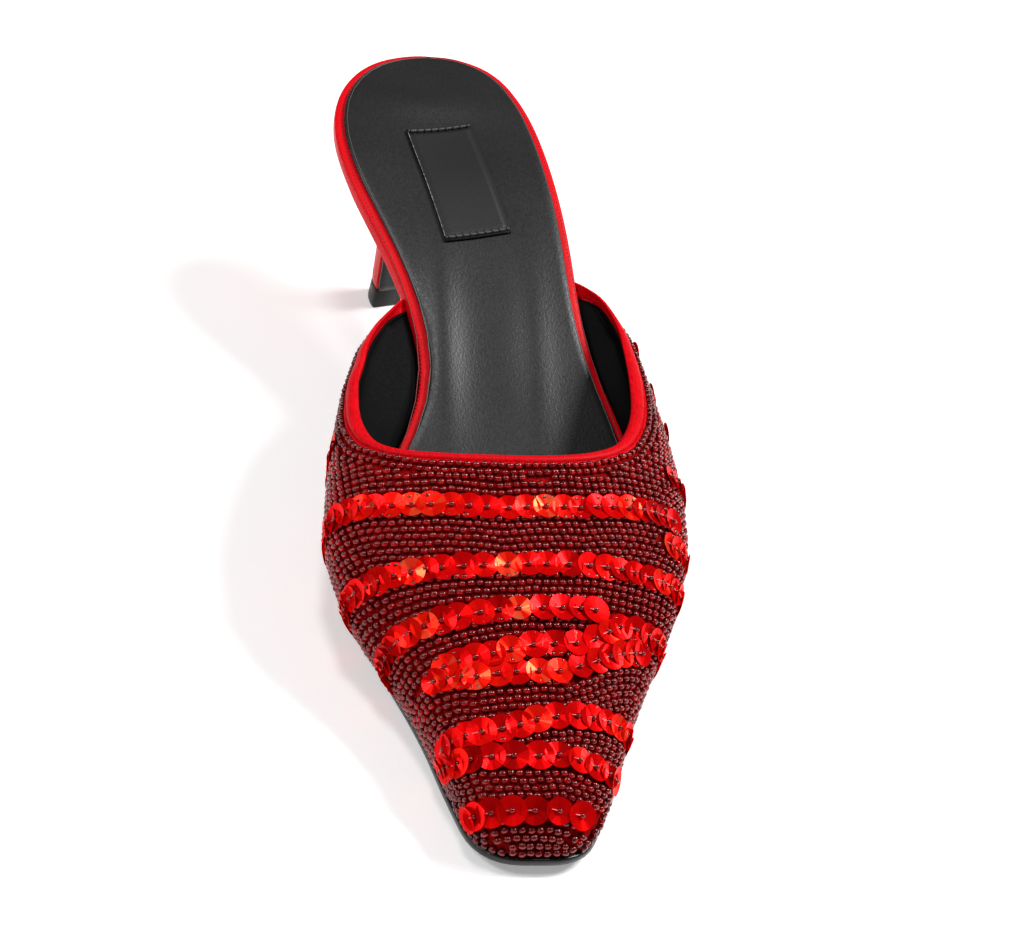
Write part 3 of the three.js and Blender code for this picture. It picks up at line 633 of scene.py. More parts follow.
def new_helper(name, data):
    """An object that only serves while a mesh is made."""
    helper = bpy.data.objects.new(name, data)
    bpy.context.scene.collection.objects.link(helper)
    return helper


def applied(helper):
    """The helper's mesh with its modifiers applied. The helper goes."""
    graph = bpy.context.evaluated_depsgraph_get()
    made = bpy.data.meshes.new_from_object(helper.evaluated_get(graph))
    made.name = helper.name
    bpy.data.objects.remove(helper)
    return made


def merged_copy(node):
    """A bmesh of the node's own mesh, its loose corners merged and its triangles paired."""
    bm = bmesh.new()
    bm.from_mesh(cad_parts[node].data)
    bmesh.ops.remove_doubles(bm, verts=bm.verts, dist=0.02 * MM)
    bmesh.ops.join_triangles(
        bm, faces=bm.faces, angle_face_threshold=math.radians(25), angle_shape_threshold=math.radians(75)
    )
    return bm


def as_mesh(bm, name, smooth=True):
    mesh = bpy.data.meshes.new(name)
    for face in bm.faces:
        face.smooth = smooth
    bm.to_mesh(mesh)
    bm.free()
    return mesh


def subdivided(mesh, levels, corners="ALL"):
    """The mesh with a subdivision surface applied."""
    helper = new_helper(mesh.name, mesh)
    surface = helper.modifiers.new("Subdivision", "SUBSURF")
    surface.levels = levels
    surface.render_levels = levels
    surface.boundary_smooth = corners
    return applied(helper)


def dressed(name, node, levels, angle, crease=0.9):
    """The node's form as a smooth mesh, creased where its faces meet more sharply than the angle."""
    bm = merged_copy(node)
    layer = bm.edges.layers.float.new("crease_edge")
    for edge in bm.edges:
        if len(edge.link_faces) == 2 and edge.calc_face_angle() > math.radians(angle):
            edge[layer] = crease
    return subdivided(as_mesh(bm, name), levels)


def sheet_from(node, start, way, angle):
    """The part of a node's skin round the place that a ray meets, out to edges sharper than the angle."""
    bm = merged_copy(node)
    bm.faces.ensure_lookup_table()
    seed = BVHTree.FromBMesh(bm).ray_cast(start, way)[2]
    inside = {seed}
    edge_of_growth = [bm.faces[seed]]
    while edge_of_growth:
        face = edge_of_growth.pop()
        for edge in face.edges:
            if len(edge.link_faces) != 2 or edge.calc_face_angle() > math.radians(angle):
                continue
            for other in edge.link_faces:
                if other.index not in inside:
                    inside.add(other.index)
                    edge_of_growth.append(other)
    bmesh.ops.delete(bm, geom=[f for f in bm.faces if f.index not in inside], context="FACES")
    return as_mesh(bm, node + "_sheet")


def surface_of(mesh):
    """The mesh as a surface that places are looked up on."""
    return BVHTree.FromPolygons([v.co for v in mesh.vertices], [tuple(p.vertices) for p in mesh.polygons])


def points_of(path):
    """The path's points, for looking up the nearest one."""
    points = KDTree(len(path))
    for i, place in enumerate(path):
        points.insert(place, i)
    points.balance()
    return points


def rim_path(mesh, keep=lambda place: True):
    """The longest run of the mesh's open edge whose corners pass the test, as ordered points."""
    bm = bmesh.new()
    bm.from_mesh(mesh)
    bm.verts.ensure_lookup_table()
    links = {}
    for edge in bm.edges:
        if edge.is_boundary and all(keep(v.co) for v in edge.verts):
            a, b = (v.index for v in edge.verts)
            links.setdefault(a, []).append(b)
            links.setdefault(b, []).append(a)
    paths = []
    seen = set()
    for start in sorted(links, key=lambda i: (len(links[i]), i)):
        path = []
        here = start if start not in seen else None
        while here is not None:
            seen.add(here)
            path.append(bm.verts[here].co.copy())
            here = next((i for i in links[here] if i not in seen), None)
        paths.append(path)
    bm.free()
    return max(paths, key=len)


def smoothed(points, passes, closed=False):
    """The path with each point drawn towards its neighbours."""
    count = len(points)
    for _ in range(passes):
        mean = [(points[i - 1] + points[i] * 2 + points[(i + 1) % count]) / 4 for i in range(count)]
        if not closed:
            mean[0], mean[-1] = points[0], points[-1]
        points = mean
    return points


def moved_over(points, surface, distance, away_from, closed=False):
    """The path moved over a surface, to the side that lies further from another surface."""
    moved = []
    count = len(points)
    for i, point in enumerate(points):
        ahead = points[(i + 1) % count] if closed else points[min(i + 1, count - 1)]
        behind = points[i - 1] if closed else points[max(i - 1, 0)]
        side = surface.find_nearest(point)[1].cross(ahead - behind).normalized()
        options = (point + side * distance, point - side * distance)
        best = max(options, key=lambda place: away_from.find_nearest(place)[3])
        moved.append(surface.find_nearest(best)[0])
    return moved


def tube(name, points, radius, closed=False):
    """A mesh cord along the points. Its radius is in millimetres."""
    curve = bpy.data.curves.new(name, "CURVE")
    curve.dimensions = "3D"
    spline = curve.splines.new("POLY")
    spline.points.add(len(points) - 1)
    for corner, point in zip(spline.points, points):
        corner.co = (*point, 1)
    spline.use_cyclic_u = closed
    curve.bevel_depth = radius * MM
    curve.bevel_resolution = 1
    curve.use_fill_caps = True
    return applied(new_helper(name, curve))


def swollen(mesh, amount):
    """The mesh with its upright walls moved out, to make good what subdivision took."""
    outward = [Vector((vert.normal.x, vert.normal.y, 0)) for vert in mesh.vertices]
    for vert, way in zip(mesh.vertices, outward):
        vert.co += way * amount
    return mesh


def bell(place, middle, width):
    return math.exp(-(((place - middle) / width) ** 2))


class Mark:
    """A soft rise or hollow that the foot has pressed into the sock, in millimetres. It may slant."""

    def __init__(self, height, across, width, station, length, slant=0.0):
        self.height = height
        self.across = across
        self.width = width
        self.station = station
        self.length = length
        self.slant = slant

    def rise(self, x, y):
        middle = self.across + self.slant * y
        return self.height * bell(x, middle, self.width) * bell(y, self.station, self.length)


FOOT_MARKS = {
    "medial ridge": Mark(0.91, across=-10, width=4.5, station=26, length=26, slant=0.02),
    "lateral ridge": Mark(0.595, across=14.5, width=4.5, station=26, length=26, slant=0.02),
    "trough": Mark(-0.42, across=2.5, width=7, station=26, length=26, slant=0.02),
    "heel hollow": Mark(-0.7, across=-5, width=15, station=88, length=14),
    "lip behind the heel": Mark(0.9, across=-6, width=13, station=100, length=5),
}


def moulded(mesh):
    """The mesh pressed to the foot's form."""
    for vert in mesh.vertices:
        x, y = vert.co.x / MM, vert.co.y / MM
        vert.co.z += sum(mark.rise(x, y) for mark in FOOT_MARKS.values()) * MM
    return mesh


def foot_point(station):
    """The point of the foot's middle line at a station, in metres."""
    across = between([(row[0] * MM, row[1] * MM) for row in FOOT_LINE], station)
    height = between([(row[0] * MM, row[2] * MM) for row in FOOT_LINE], station)
    return Vector((across, station, height))


class Vamp:
    """The upper's outer face, its edges, and paths over it that beads and sequins are sewn along."""

    def __init__(self, sheet, binding):
        self.surface = surface_of(sheet)
        self.binding = surface_of(binding)
        self.throat = rim_path(sheet, lambda place: self.gap(place) < THROAT_GAP * MM)
        self.joint = rim_path(sheet, lambda place: self.gap(place) < JOINT_GAP * MM)
        self.toe = rim_path(sheet, lambda place: place.y < TOE_END * MM)
        self.throat_points = points_of(self.throat)
        self.feather_points = points_of(rim_path(sheet, lambda place: self.gap(place) > FEATHER_GAP * MM))

    def gap(self, place):
        """How far a place lies from the binding."""
        return self.binding.find_nearest(place)[3]

    def cast(self, turn, station):
        """The surface point at a turn over the vamp and a station in metres, or None off the cloth."""
        angle = SWEEP_START + (SWEEP_END - SWEEP_START) * turn
        hinge = HINGE_STATION * MM
        if station >= hinge:
            start = foot_point(station)
            up = Vector((0, 0, 1))
        else:
            lean = (hinge - station) / MM * FAN
            up = Vector((0, -math.sin(lean), math.cos(lean)))
            share = lean / FAN_WIDEST
            across = foot_point(hinge).x - FAN_DRIFT * share * MM
            start = Vector((across, hinge, HINGE_HEIGHT * MM)) + up * (FAN_START + FAN_GROWTH * share) * MM
        way = Vector((-math.cos(angle), 0, 0)) + up * math.sin(angle)
        return self.surface.ray_cast(start, way, SWEEP_REACH * MM)[0]

    def paths(self, station_of, run):
        """Surface points along a row, from the medial to the lateral side. A gap splits the row."""
        stretches = [[]]
        for step in range(SWEEP_STEPS + 1):
            turn = run[0] + (run[1] - run[0]) * step / SWEEP_STEPS
            station = station_of(turn)
            place = None if station is None else self.cast(turn, station * MM)
            if place is None:
                stretches.append([])
            elif stretches[-1] and (place - stretches[-1][-1]).length > SWEEP_GAP * MM:
                stretches.append([place])
            else:
                stretches[-1].append(place)
        return [stretch for stretch in stretches if len(stretch) > 1]


class Seat:
    """A place on a surface, with the way out of it and the way along its row."""

    def __init__(self, place, normal, along, share=0.0):
        self.place = place
        self.normal = normal
        self.along = (along - normal * along.dot(normal)).normalized()
        self.share = share

    def frame(self, lift=0.0):
        """The matrix that puts a template here: X along the row, Z out of the surface."""
        across = self.normal.cross(self.along)
        turn = Matrix((self.along, across, self.normal)).transposed().to_4x4()
        return Matrix.Translation(self.place + self.normal * lift) @ turn


def seats_along(points, pitch_at, surface):
    """Seats at even distances along a row of points. pitch_at gives the pitch at a share of the row."""
    lengths = [0.0]
    for a, b in zip(points, points[1:]):
        lengths.append(lengths[-1] + (b - a).length)
    total = lengths[-1]
    seats = []
    reach = pitch_at(0.0) / 2
    leg = 0
    while reach < total:
        while lengths[leg + 1] < reach:
            leg += 1
        share = (reach - lengths[leg]) / (lengths[leg + 1] - lengths[leg])
        place, normal, _, _ = surface.find_nearest(points[leg].lerp(points[leg + 1], share))
        seats.append(Seat(place, normal, points[leg + 1] - points[leg], reach / total))
        reach += pitch_at(reach / total)
    return seats


def scattered(name, template, placings, finish):
    """One joined mesh of copies of the template. Each placing is a matrix, a scale and a tint."""
    seats = bpy.data.meshes.new(name + "_seats")
    bm = bmesh.new()
    for matrix, _, _ in placings:
        bm.verts.new(matrix.translation)
    bm.to_mesh(seats)
    bm.free()
    facings = [angle for matrix, _, _ in placings for angle in matrix.to_euler()]
    scales = [side for _, scale, _ in placings for side in scale]
    tints = [tint for _, _, tint in placings]
    seats.attributes.new("facing", "FLOAT_VECTOR", "POINT").data.foreach_set("vector", facings)
    seats.attributes.new("size", "FLOAT_VECTOR", "POINT").data.foreach_set("vector", scales)
    seats.attributes.new("tint", "FLOAT", "POINT").data.foreach_set("value", tints)
    helper = new_helper(name, seats)
    pattern = new_helper(name + "_template", template)
    tree = copier(name, pattern)
    helper.modifiers.new("Copies", "NODES").node_group = tree
    mesh = applied(helper)
    bpy.data.objects.remove(pattern)
    bpy.data.node_groups.remove(tree)
    return new_piece(name, mesh, finish)


def copier(name, pattern):
    """The nodes that put a realized copy of the pattern on each point, at its own facing and size."""
    tree = bpy.data.node_groups.new(name, "GeometryNodeTree")
    tree.interface.new_socket("Geometry", in_out="INPUT", socket_type="NodeSocketGeometry")
    tree.interface.new_socket("Geometry", in_out="OUTPUT", socket_type="NodeSocketGeometry")
    nodes = tree.nodes
    shape = nodes.new("GeometryNodeObjectInfo")
    shape.inputs["Object"].default_value = pattern
    read = {}
    for attribute in ("facing", "size"):
        node = nodes.new("GeometryNodeInputNamedAttribute")
        node.data_type = "FLOAT_VECTOR"
        node.inputs["Name"].default_value = attribute
        read[attribute] = node.outputs["Attribute"]
    rotation = nodes.new("FunctionNodeEulerToRotation")
    copies = nodes.new("GeometryNodeInstanceOnPoints")
    joined = nodes.new("GeometryNodeRealizeInstances")
    link = tree.links.new
    link(nodes.new("NodeGroupInput").outputs[0], copies.inputs["Points"])
    link(shape.outputs["Geometry"], copies.inputs["Instance"])
    link(read["facing"], rotation.inputs[0])
    link(rotation.outputs[0], copies.inputs["Rotation"])
    link(read["size"], copies.inputs["Scale"])
    link(copies.outputs[0], joined.inputs[0])
    link(joined.outputs[0], nodes.new("NodeGroupOutput").inputs[0])
    return tree


def bead_template():
    """A seed bead: a barrel with its hole along X, spun from half its section."""
    length, radius = sizes().bead_length, sizes().bead_width / 2
    bm = bmesh.new()
    ring = [bm.verts.new((x * length, r * radius, 0)) for x, r in BEAD_SECTION]
    edges = [bm.edges.new((ring[i], ring[(i + 1) % len(ring)])) for i in range(len(ring))]
    bmesh.ops.spin(
        bm, geom=ring + edges, axis=(1, 0, 0), cent=(0, 0, 0), angle=math.tau, steps=BEAD_SIDES,
        use_merge=True, use_duplicate=False,
    )
    bmesh.ops.remove_doubles(bm, verts=bm.verts, dist=0.001 * MM)
    bmesh.ops.recalc_face_normals(bm, faces=bm.faces)
    # The glow is painted light. It grows towards the toe side of each bead, where light leaving the glass
    # would show.
    glow = bm.verts.layers.float.new("glow")
    for vert in bm.verts:
        vert[glow] = max(0.0, vert.co.dot(BEAD_PAINTED_GLOW_WAY) / radius)
    return as_mesh(bm, "bead_template")


def sequin_template():
    """A cupped sequin: a disc with a hole, its flat facets rising to the rim, and its thickness."""
    radius, facets = sizes().sequin_width / 2, sizes().sequin_facets
    bm = bmesh.new()
    rim = bmesh.ops.create_circle(bm, segments=facets * 3, radius=radius)["verts"]
    grown = bmesh.ops.extrude_edge_only(bm, edges=list(bm.edges))["geom"]
    hole = [v for v in grown if isinstance(v, bmesh.types.BMVert)]
    bmesh.ops.scale(bm, vec=(SEQUIN_HOLE, SEQUIN_HOLE, 1), verts=hole)
    facet = math.tau / facets
    for vert in rim + hole:
        angle = math.atan2(vert.co.y, vert.co.x)
        off = (angle + facet / 2) % facet - facet / 2
        vert.co.z = math.tan(SEQUIN_SLOPE) * vert.co.length * math.cos(off)
    bmesh.ops.recalc_face_normals(bm, faces=bm.faces)
    if sum(face.normal.z for face in bm.faces) < 0:
        bmesh.ops.reverse_faces(bm, faces=bm.faces)
    # Each facet's value is painted reflection: a brightness of its own, as if it caught the light at its own
    # angle
    layer = bm.faces.layers.float.new("facet")
    for face in bm.faces:
        middle = face.calc_center_median()
        side = round(math.atan2(middle.y, middle.x) / math.tau * facets) % facets
        face[layer] = (side * 3 % facets) / (facets - 1)
    bmesh.ops.solidify(bm, geom=list(bm.faces), thickness=SEQUIN_WALL * MM)
    return as_mesh(bm, "sequin_template", smooth=False)


def stitch_template():
    """A stitch: a small bead of thread, a millimetre long, to be scaled to its place."""
    bm = bmesh.new()
    bmesh.ops.create_uvsphere(bm, u_segments=8, v_segments=5, radius=0.5 * MM)
    return as_mesh(bm, "stitch_template")


def thread_template():
    """A millimetre of thread along X, to be scaled to its length."""
    bm = bmesh.new()
    radius = THREAD_RADIUS * MM
    along_x = Matrix.Rotation(math.pi / 2, 4, "Y")
    bmesh.ops.create_cone(
        bm, cap_ends=True, segments=5, radius1=radius, radius2=radius, depth=1 * MM, matrix=along_x
    )
    return as_mesh(bm, "thread_template")


class MULE_OT_sole(bpy.types.Operator):
    """The black outsole and the heel's top piece"""

    bl_idname = "mule.sole"
    bl_label = "Sole"

    def execute(self, context):
        sole = self.drawn_back(dressed("outsole_dressed", "outsole", levels=1, angle=35))
        work["sole"] = surface_of(sole)
        new_piece("outsole_dressed", sole, sole_edge, ["outsole"])
        tip = dressed("top_piece_dressed", "top_piece", levels=1, angle=25)
        new_piece("top_piece_dressed", tip, heel_rubber, ["top_piece"])
        return {"FINISHED"}

    def drawn_back(self, sole):
        """The sole with its rear end drawn up the slope, to meet the cover on the heel's front."""
        for vert in sole.vertices:
            share = max(0.0, vert.co.y / MM - SOLE_END_START) / SOLE_END_LENGTH
            vert.co.y += SOLE_END_REACH * share * MM
            vert.co.z += SOLE_END_RISE * share * MM
        return sole


class MULE_OT_footbed(bpy.types.Operator):
    """The red wrapped footbed with its stitched seam, and the moulded black sock"""

    bl_idname = "mule.footbed"
    bl_label = "Footbed"

    def execute(self, context):
        wrap = swollen(dressed("footbed_wrap", "footbed", levels=2, angle=50, crease=0.75), WRAP_SWELL * MM)
        new_piece("footbed_wrap", wrap, red_leather, ["footbed"])
        sock = moulded(dressed("sock", "sock_lining", levels=2, angle=40))
        self.sock = surface_of(sock)
        new_piece("sock", sock, sock_leather, ["sock_lining"])
        self.seam(surface_of(wrap))
        self.sock_rim()
        return {"FINISHED"}

    def top_rim(self, node):
        """The outline of a node's top face, as a closed path."""
        return smoothed(rim_path(sheet_from(node, OVER_SEAT, Vector((0, 0, -1)), angle=17)), 2, closed=True)

    def seam(self, wrap):
        """The stitched seam on the red margin, just outside the sock."""
        path = moved_over(self.top_rim("footbed"), wrap, RIM_SEAM_OUTSET * MM, self.sock, closed=True)
        path = smoothed(path, 2, closed=True)
        new_piece("rim_seam", tube("rim_seam", path, radius=0.13, closed=True), seam_thread)
        seats = seats_along(path, lambda share: RIM_STITCH_PITCH * MM, wrap)
        stitches = [(seat.frame(lift=0.02 * MM), RIM_STITCH_SIZE, 0.5) for seat in seats]
        scattered("rim_stitches", stitch_template(), stitches, seam_thread)

    def sock_rim(self):
        """The cut edge of the sock, a thin line round it."""
        raised = [self.sock.find_nearest(point)[0] for point in self.top_rim("sock_lining")]
        new_piece("sock_edge", tube("sock_edge", raised, radius=0.14, closed=True), cut_edge)


class MULE_OT_label(bpy.types.Operator):
    """The bare woven label with folded ends and its stitches"""

    bl_idname = "mule.label"
    bl_label = "Label"

    def execute(self, context):
        label = moulded(dressed("label", "label_patch", levels=1, angle=30, crease=1.0))
        self.surface = surface_of(label)
        new_piece("label", label, label_satin, ["label_patch"])
        low, high = (Vector(corner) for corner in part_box("label_patch"))
        self.centre = (low + high) / 2
        self.along = Vector((-math.sin(LABEL_TURN), math.cos(LABEL_TURN), 0))
        self.across = Vector((math.cos(LABEL_TURN), math.sin(LABEL_TURN), 0))
        self.folds()
        self.stitches()
        self.light_edge()
        return {"FINISHED"}

    def point(self, across, along, lift):
        """A point over the label, by its distance in millimetres from the label's centre."""
        flat = self.centre + self.across * across * MM + self.along * along * MM
        above = flat + Vector((0, 0, LABEL_CLEARANCE * MM))
        place, normal, _, _ = self.surface.ray_cast(above, Vector((0, 0, -1)))
        return place + normal * lift * MM

    def folds(self):
        """The rolled folds at both short ends, seen as two soft bars. Their grey finish is a painted
        highlight along each roll.
        """
        half = LABEL_WIDTH / 2 - FOLD_MARGIN
        reach = LABEL_LENGTH / 2 - FOLD_INSET
        for name, end in (("label_fold_near", -reach), ("label_fold_far", reach)):
            points = [self.point(across, end, lift=0.1) for across in evenly(half, 13)]
            # The grey edge finish paints the highlight along each rolled fold of the black satin
            new_piece(name, tube(name, points, radius=0.42), cut_edge)

    def stitches(self):
        """Large stitches over both folds, and small ones sunk into both long sides."""
        self.dice = random.Random(LABEL_SEED)
        placings = []
        reach = LABEL_LENGTH / 2 - END_STITCH_INSET
        for end in (-reach, reach):
            for across in evenly(LABEL_WIDTH / 2 - END_STITCH_MARGIN, 9):
                placings.append(self.stitch(across, end, END_STITCH_SIZE, lift=0.5))
        half = LABEL_WIDTH / 2 - SIDE_STITCH_INSET
        for side in (-half, half):
            for along in evenly(LABEL_LENGTH / 2 - SIDE_STITCH_MARGIN, 33):
                placings.append(self.stitch(side, along, SIDE_STITCH_SIZE, lift=0.0))
        scattered("label_stitches", stitch_template(), placings, black_thread)

    def stitch(self, across, along, size, lift):
        place = self.point(across, along, lift)
        normal = self.surface.find_nearest(place)[1]
        turned = Matrix.Rotation(math.radians(self.dice.uniform(-STITCH_SWAY, STITCH_SWAY)), 4, "Z")
        return Seat(place, normal, self.along).frame() @ turned, size, self.dice.random()

    def light_edge(self):
        """The frayed edge along the label's medial side."""
        side = LABEL_WIDTH / 2 - PALE_EDGE_INSET
        reach = LABEL_LENGTH / 2 - PALE_EDGE_MARGIN
        points = [self.point(-side, along, lift=0.02) for along in evenly(reach, 31)]
        new_piece("label_edge", tube("label_edge", points, radius=0.09), pale_edge)


def evenly(reach, count):
    """Places at even steps, from the reach on one side of the middle to the reach on the other."""
    return [reach * (2 * step / (count - 1) - 1) for step in range(count)]


class MULE_OT_heel(bpy.types.Operator):
    """The red covered heel and its black breast"""

    bl_idname = "mule.heel"
    bl_label = "Heel"

    def execute(self, context):
        cover = dressed("heel_cover", "heel", levels=2, angle=40)
        new_piece("heel_cover", cover, red_leather, ["heel"])
        breast = dressed("heel_breast_dressed", "heel_breast", levels=2, angle=40)
        new_piece("heel_breast_dressed", breast, sole_edge, ["heel_breast"])
        return {"FINISHED"}


class MULE_OT_upper(bpy.types.Operator):
    """The cloth of the upper, its lining and the topline binding"""

    bl_idname = "mule.upper"
    bl_label = "Upper"

    def execute(self, context):
        inside = foot_point(UPPER_STATION * MM)
        above = inside + Vector((0, 0, UPPER_CLEARANCE * MM))
        cloth = self.face("upper_cloth", above, Vector((0, 0, -1)))
        lining = self.face("upper_lining", inside, Vector((0, 0, 1)))
        binding = dressed("topline_binding_dressed", "topline_binding", levels=2, angle=50, crease=0.8)
        self.tucked(binding)
        work["cloth"] = cloth.copy()
        work["binding"] = binding
        edge = self.lining_edge(lining, surface_of(binding))
        piece = new_piece("upper_cloth", cloth, base_cloth, ["upper"])
        cloth.materials.append(finish_of(lining_leather))
        self.thicken(piece, CLOTH_WALL * MM)
        piece = new_piece("upper_lining", lining, lining_leather)
        self.thicken(piece, LINING_WALL * MM)
        new_piece("lining_edge", edge, lining_leather)
        new_piece("topline_binding_dressed", binding, binding_leather, ["topline_binding"])
        return {"FINISHED"}

    def face(self, name, start, way):
        """The face of the upper's wall that a ray meets, as a smooth sheet."""
        sheet = sheet_from("upper", start, way, angle=35)
        sheet.name = name
        return self.tucked(subdivided(sheet, 2, "PRESERVE_CORNERS"))

    def tucked(self, mesh):
        """The mesh with the ends of both wings drawn in under the edge of the footbed."""
        for vert in mesh.vertices:
            tip = WING_TIPS[0] if vert.co.x < 0 else WING_TIPS[1]
            share = max(0.0, vert.co.y / MM - tip + TUCK_LENGTH) / TUCK_LENGTH
            pull = TUCK_DEPTH * share * share * MM
            vert.co.x += pull if vert.co.x < 0 else -pull
            vert.co.y += TUCK_BACK * pull
            vert.co.z -= TUCK_DOWN * pull
        return mesh

    def thicken(self, piece, wall):
        """Gives the sheet a wall, inwards. Its inner side takes the last of its materials."""
        modifier = piece.modifiers.new("Wall", "SOLIDIFY")
        modifier.thickness = wall
        modifier.offset = -1
        modifier.material_offset = len(piece.data.materials) - 1

    def lining_edge(self, lining, binding):
        """The folded edge of the lining, a thin roll inside the binding."""
        path = rim_path(lining, lambda place: binding.find_nearest(place)[3] < LINING_EDGE_GAP * MM)
        raised = []
        for point in smoothed(path, 3):
            near, normal, _, _ = binding.find_nearest(point)
            raised.append(near.lerp(point, LINING_EDGE_SHARE) + normal * LINING_EDGE_LIFT * MM)
        return tube("lining_edge", smoothed(raised, 3), radius=0.5)


class MULE_OT_beadwork(bpy.types.Operator):
    """The rows of seed beads and the overlapping sequins"""

    bl_idname = "mule.beadwork"
    bl_label = "Beadwork"

    def execute(self, context):
        self.dice = random.Random(BEAD_SEED)
        self.vamp = Vamp(work["cloth"], work["binding"])
        self.taken = {}
        sequins = []
        channels = []
        for row in SEQUIN_ROWS + SIDE_CLUSTERS:
            for points in self.vamp.paths(row.station, row.run):
                sequins += self.sequin_seats(points, row)
                channels += seats_along(points, lambda share: CHANNEL_STEP * MM, self.vamp.surface)
        self.channels = points_of([seat.place for seat in channels])
        feather = self.vamp.feather_points
        clear = [seat for seat in sequins if feather.find(seat.place)[2] > SEQUIN_FEATHER_CLEARANCE * MM]
        self.sew_sequins(clear)
        self.sew_beads()
        self.sew_seam()
        return {"FINISHED"}

    def sway(self, most):
        """A random value of at most this much, to either side."""
        return self.dice.uniform(-most, most)

    def sequin_seats(self, points, row):
        """Seats along a row of sequins, closer together towards the sides."""
        wide, tight = sizes().sequin_pitch, sizes().sequin_crowding

        def pitch(share):
            side = min(1.0, abs(row.turn_at(share) - CREST) / CROWDED_TURN) ** CROWDED_POWER
            return (wide + (tight - wide) * side) * self.dice.uniform(*SEQUIN_UNEVENNESS)

        seats = seats_along(points, pitch, self.vamp.surface)
        for seat in seats:
            seat.turn = row.turn_at(seat.share)
        return seats

    def sew_sequins(self, seats):
        """A cupped disc on each seat, with the bead that holds it and the thread from its hole."""
        dice = self.dice
        discs, beads, threads = [], [], []
        for seat in seats:
            side = max(-1.0, min(1.0, (seat.turn - CREST) / SEQUIN_SIDE_TURN))
            lean = SEQUIN_LEAN * side - SEQUIN_LEAN_EASE * side * abs(side)
            lean = math.radians(lean + self.sway(SEQUIN_SWAY))
            nod = math.radians(self.sway(SEQUIN_NOD))
            lift = (SEQUIN_LIFT - SEQUIN_LIFT_EASE * side * side) * MM
            lift += abs(math.sin(lean)) * sizes().sequin_width * SEQUIN_LEAN_LIFT
            turned = seat.frame(lift) @ Matrix.Rotation(lean, 4, "Y") @ Matrix.Rotation(nod, 4, "X")
            spun = turned @ Matrix.Rotation(dice.uniform(0, math.tau), 4, "Z")
            size = dice.uniform(*SEQUIN_SCALES)
            discs.append((spun, (size, size, size), dice.random()))
            bead = turned @ Matrix.Translation((0, 0, CENTRE_BEAD_LIFT * MM))
            beads.append((bead, (CENTRE_BEAD_SCALE,) * 3, dice.uniform(*CENTRE_BEAD_TINTS)))
            reach = dice.uniform(*THREAD_LENGTHS)
            tip = turned @ Matrix.Translation((-reach / 2 * MM, 0, THREAD_LIFT * MM))
            threads.append((tip @ Matrix.Rotation(THREAD_SLOPE, 4, "Y"), (reach, 1, 1), 0.5))
        scattered("sequins", sequin_template(), discs, sequin_foil)
        scattered("sequin_beads", bead_template(), beads, bead_glass)
        scattered("sequin_threads", thread_template(), threads, clear_thread)

    def sew_beads(self):
        groups = {"topline": self.throat_beads(), "tip": self.toe_end_beads(), "wings": self.wing_beads()}
        groups["vamp"] = self.strips(0, TOE_BEADS_FROM)
        groups["toe"] = self.strips(TOE_BEADS_FROM, len(SEQUIN_ROWS))
        for name, group in groups.items():
            scattered("beads_" + name, bead_template(), group, bead_glass)

    def sew_seam(self):
        """The piped seam that closes the cloth against the binding."""
        points = []
        for point in self.vamp.joint:
            near = self.vamp.binding.find_nearest(point)[0]
            points.append(point.lerp(near, SEAM_SHARE))
        seam = tube("binding_seam", smoothed(points, 2), radius=0.5)
        new_piece("binding_seam", seam, binding_leather)

    def edge_seats(self, edge, distances, away_from, pitch):
        """Seats in rows that follow an edge of the cloth, at distances from it."""
        seats = []
        for distance in distances:
            path = moved_over(edge, self.vamp.surface, distance * MM, away_from)
            seats += seats_along(smoothed(path, 2), lambda share: pitch, self.vamp.surface)
        return seats

    def throat_beads(self):
        """Two rows that follow the binding round the throat and both wings."""
        pitch = sizes().bead_pitch * THROAT_BEAD_STRETCH
        seats = self.edge_seats(self.vamp.throat, THROAT_BEADS, self.vamp.binding, pitch)
        return [self.bead_placing(seat) for seat in seats if self.free(seat.place, BEAD_ROOM)]

    def toe_end_beads(self):
        """Two rows that follow the sole round the end of the toe."""
        placings = []
        for seat in self.edge_seats(self.vamp.toe, TOE_END_BEADS, work["sole"], sizes().bead_pitch):
            if self.free(seat.place, TOE_BEAD_ROOM) and not self.near(self.channels, seat, CHANNEL_CLEARANCE):
                placings.append(self.bead_placing(seat))
        return placings

    def wing_beads(self):
        """Rows behind the first sequins, at even steps towards the ends of the wings."""
        placings = []
        for step in range(-1, WING_ROWS):
            offset = self.row_offset(step)
            placings += self.bead_row(lambda turn: SEQUIN_ROWS[0].station(turn) + offset)
        return placings

    def strips(self, first, end):
        """Rows between sequins: each strip is filled from its rear row forwards, up to the next one."""
        placings = []
        for i in range(first, end):
            rear = SEQUIN_ROWS[i]
            front = SEQUIN_ROWS[i + 1] if i + 1 < len(SEQUIN_ROWS) else None
            for step in range(-1, STRIP_ROWS if front else TOE_ROWS):

                def station(turn):
                    fanned = FANNED_STEP if rear.station(turn) < FANNED_FROM else 1.0
                    place = rear.station(turn) - self.row_offset(step) * fanned
                    return place if front is None or place > front.station(turn) else None

                placings += self.bead_row(station)
        return placings

    def row_offset(self, step):
        """How far a bead row lies from its sequins, in millimetres."""
        return FIRST_BEADS + step * (sizes().row_pitch / MM)

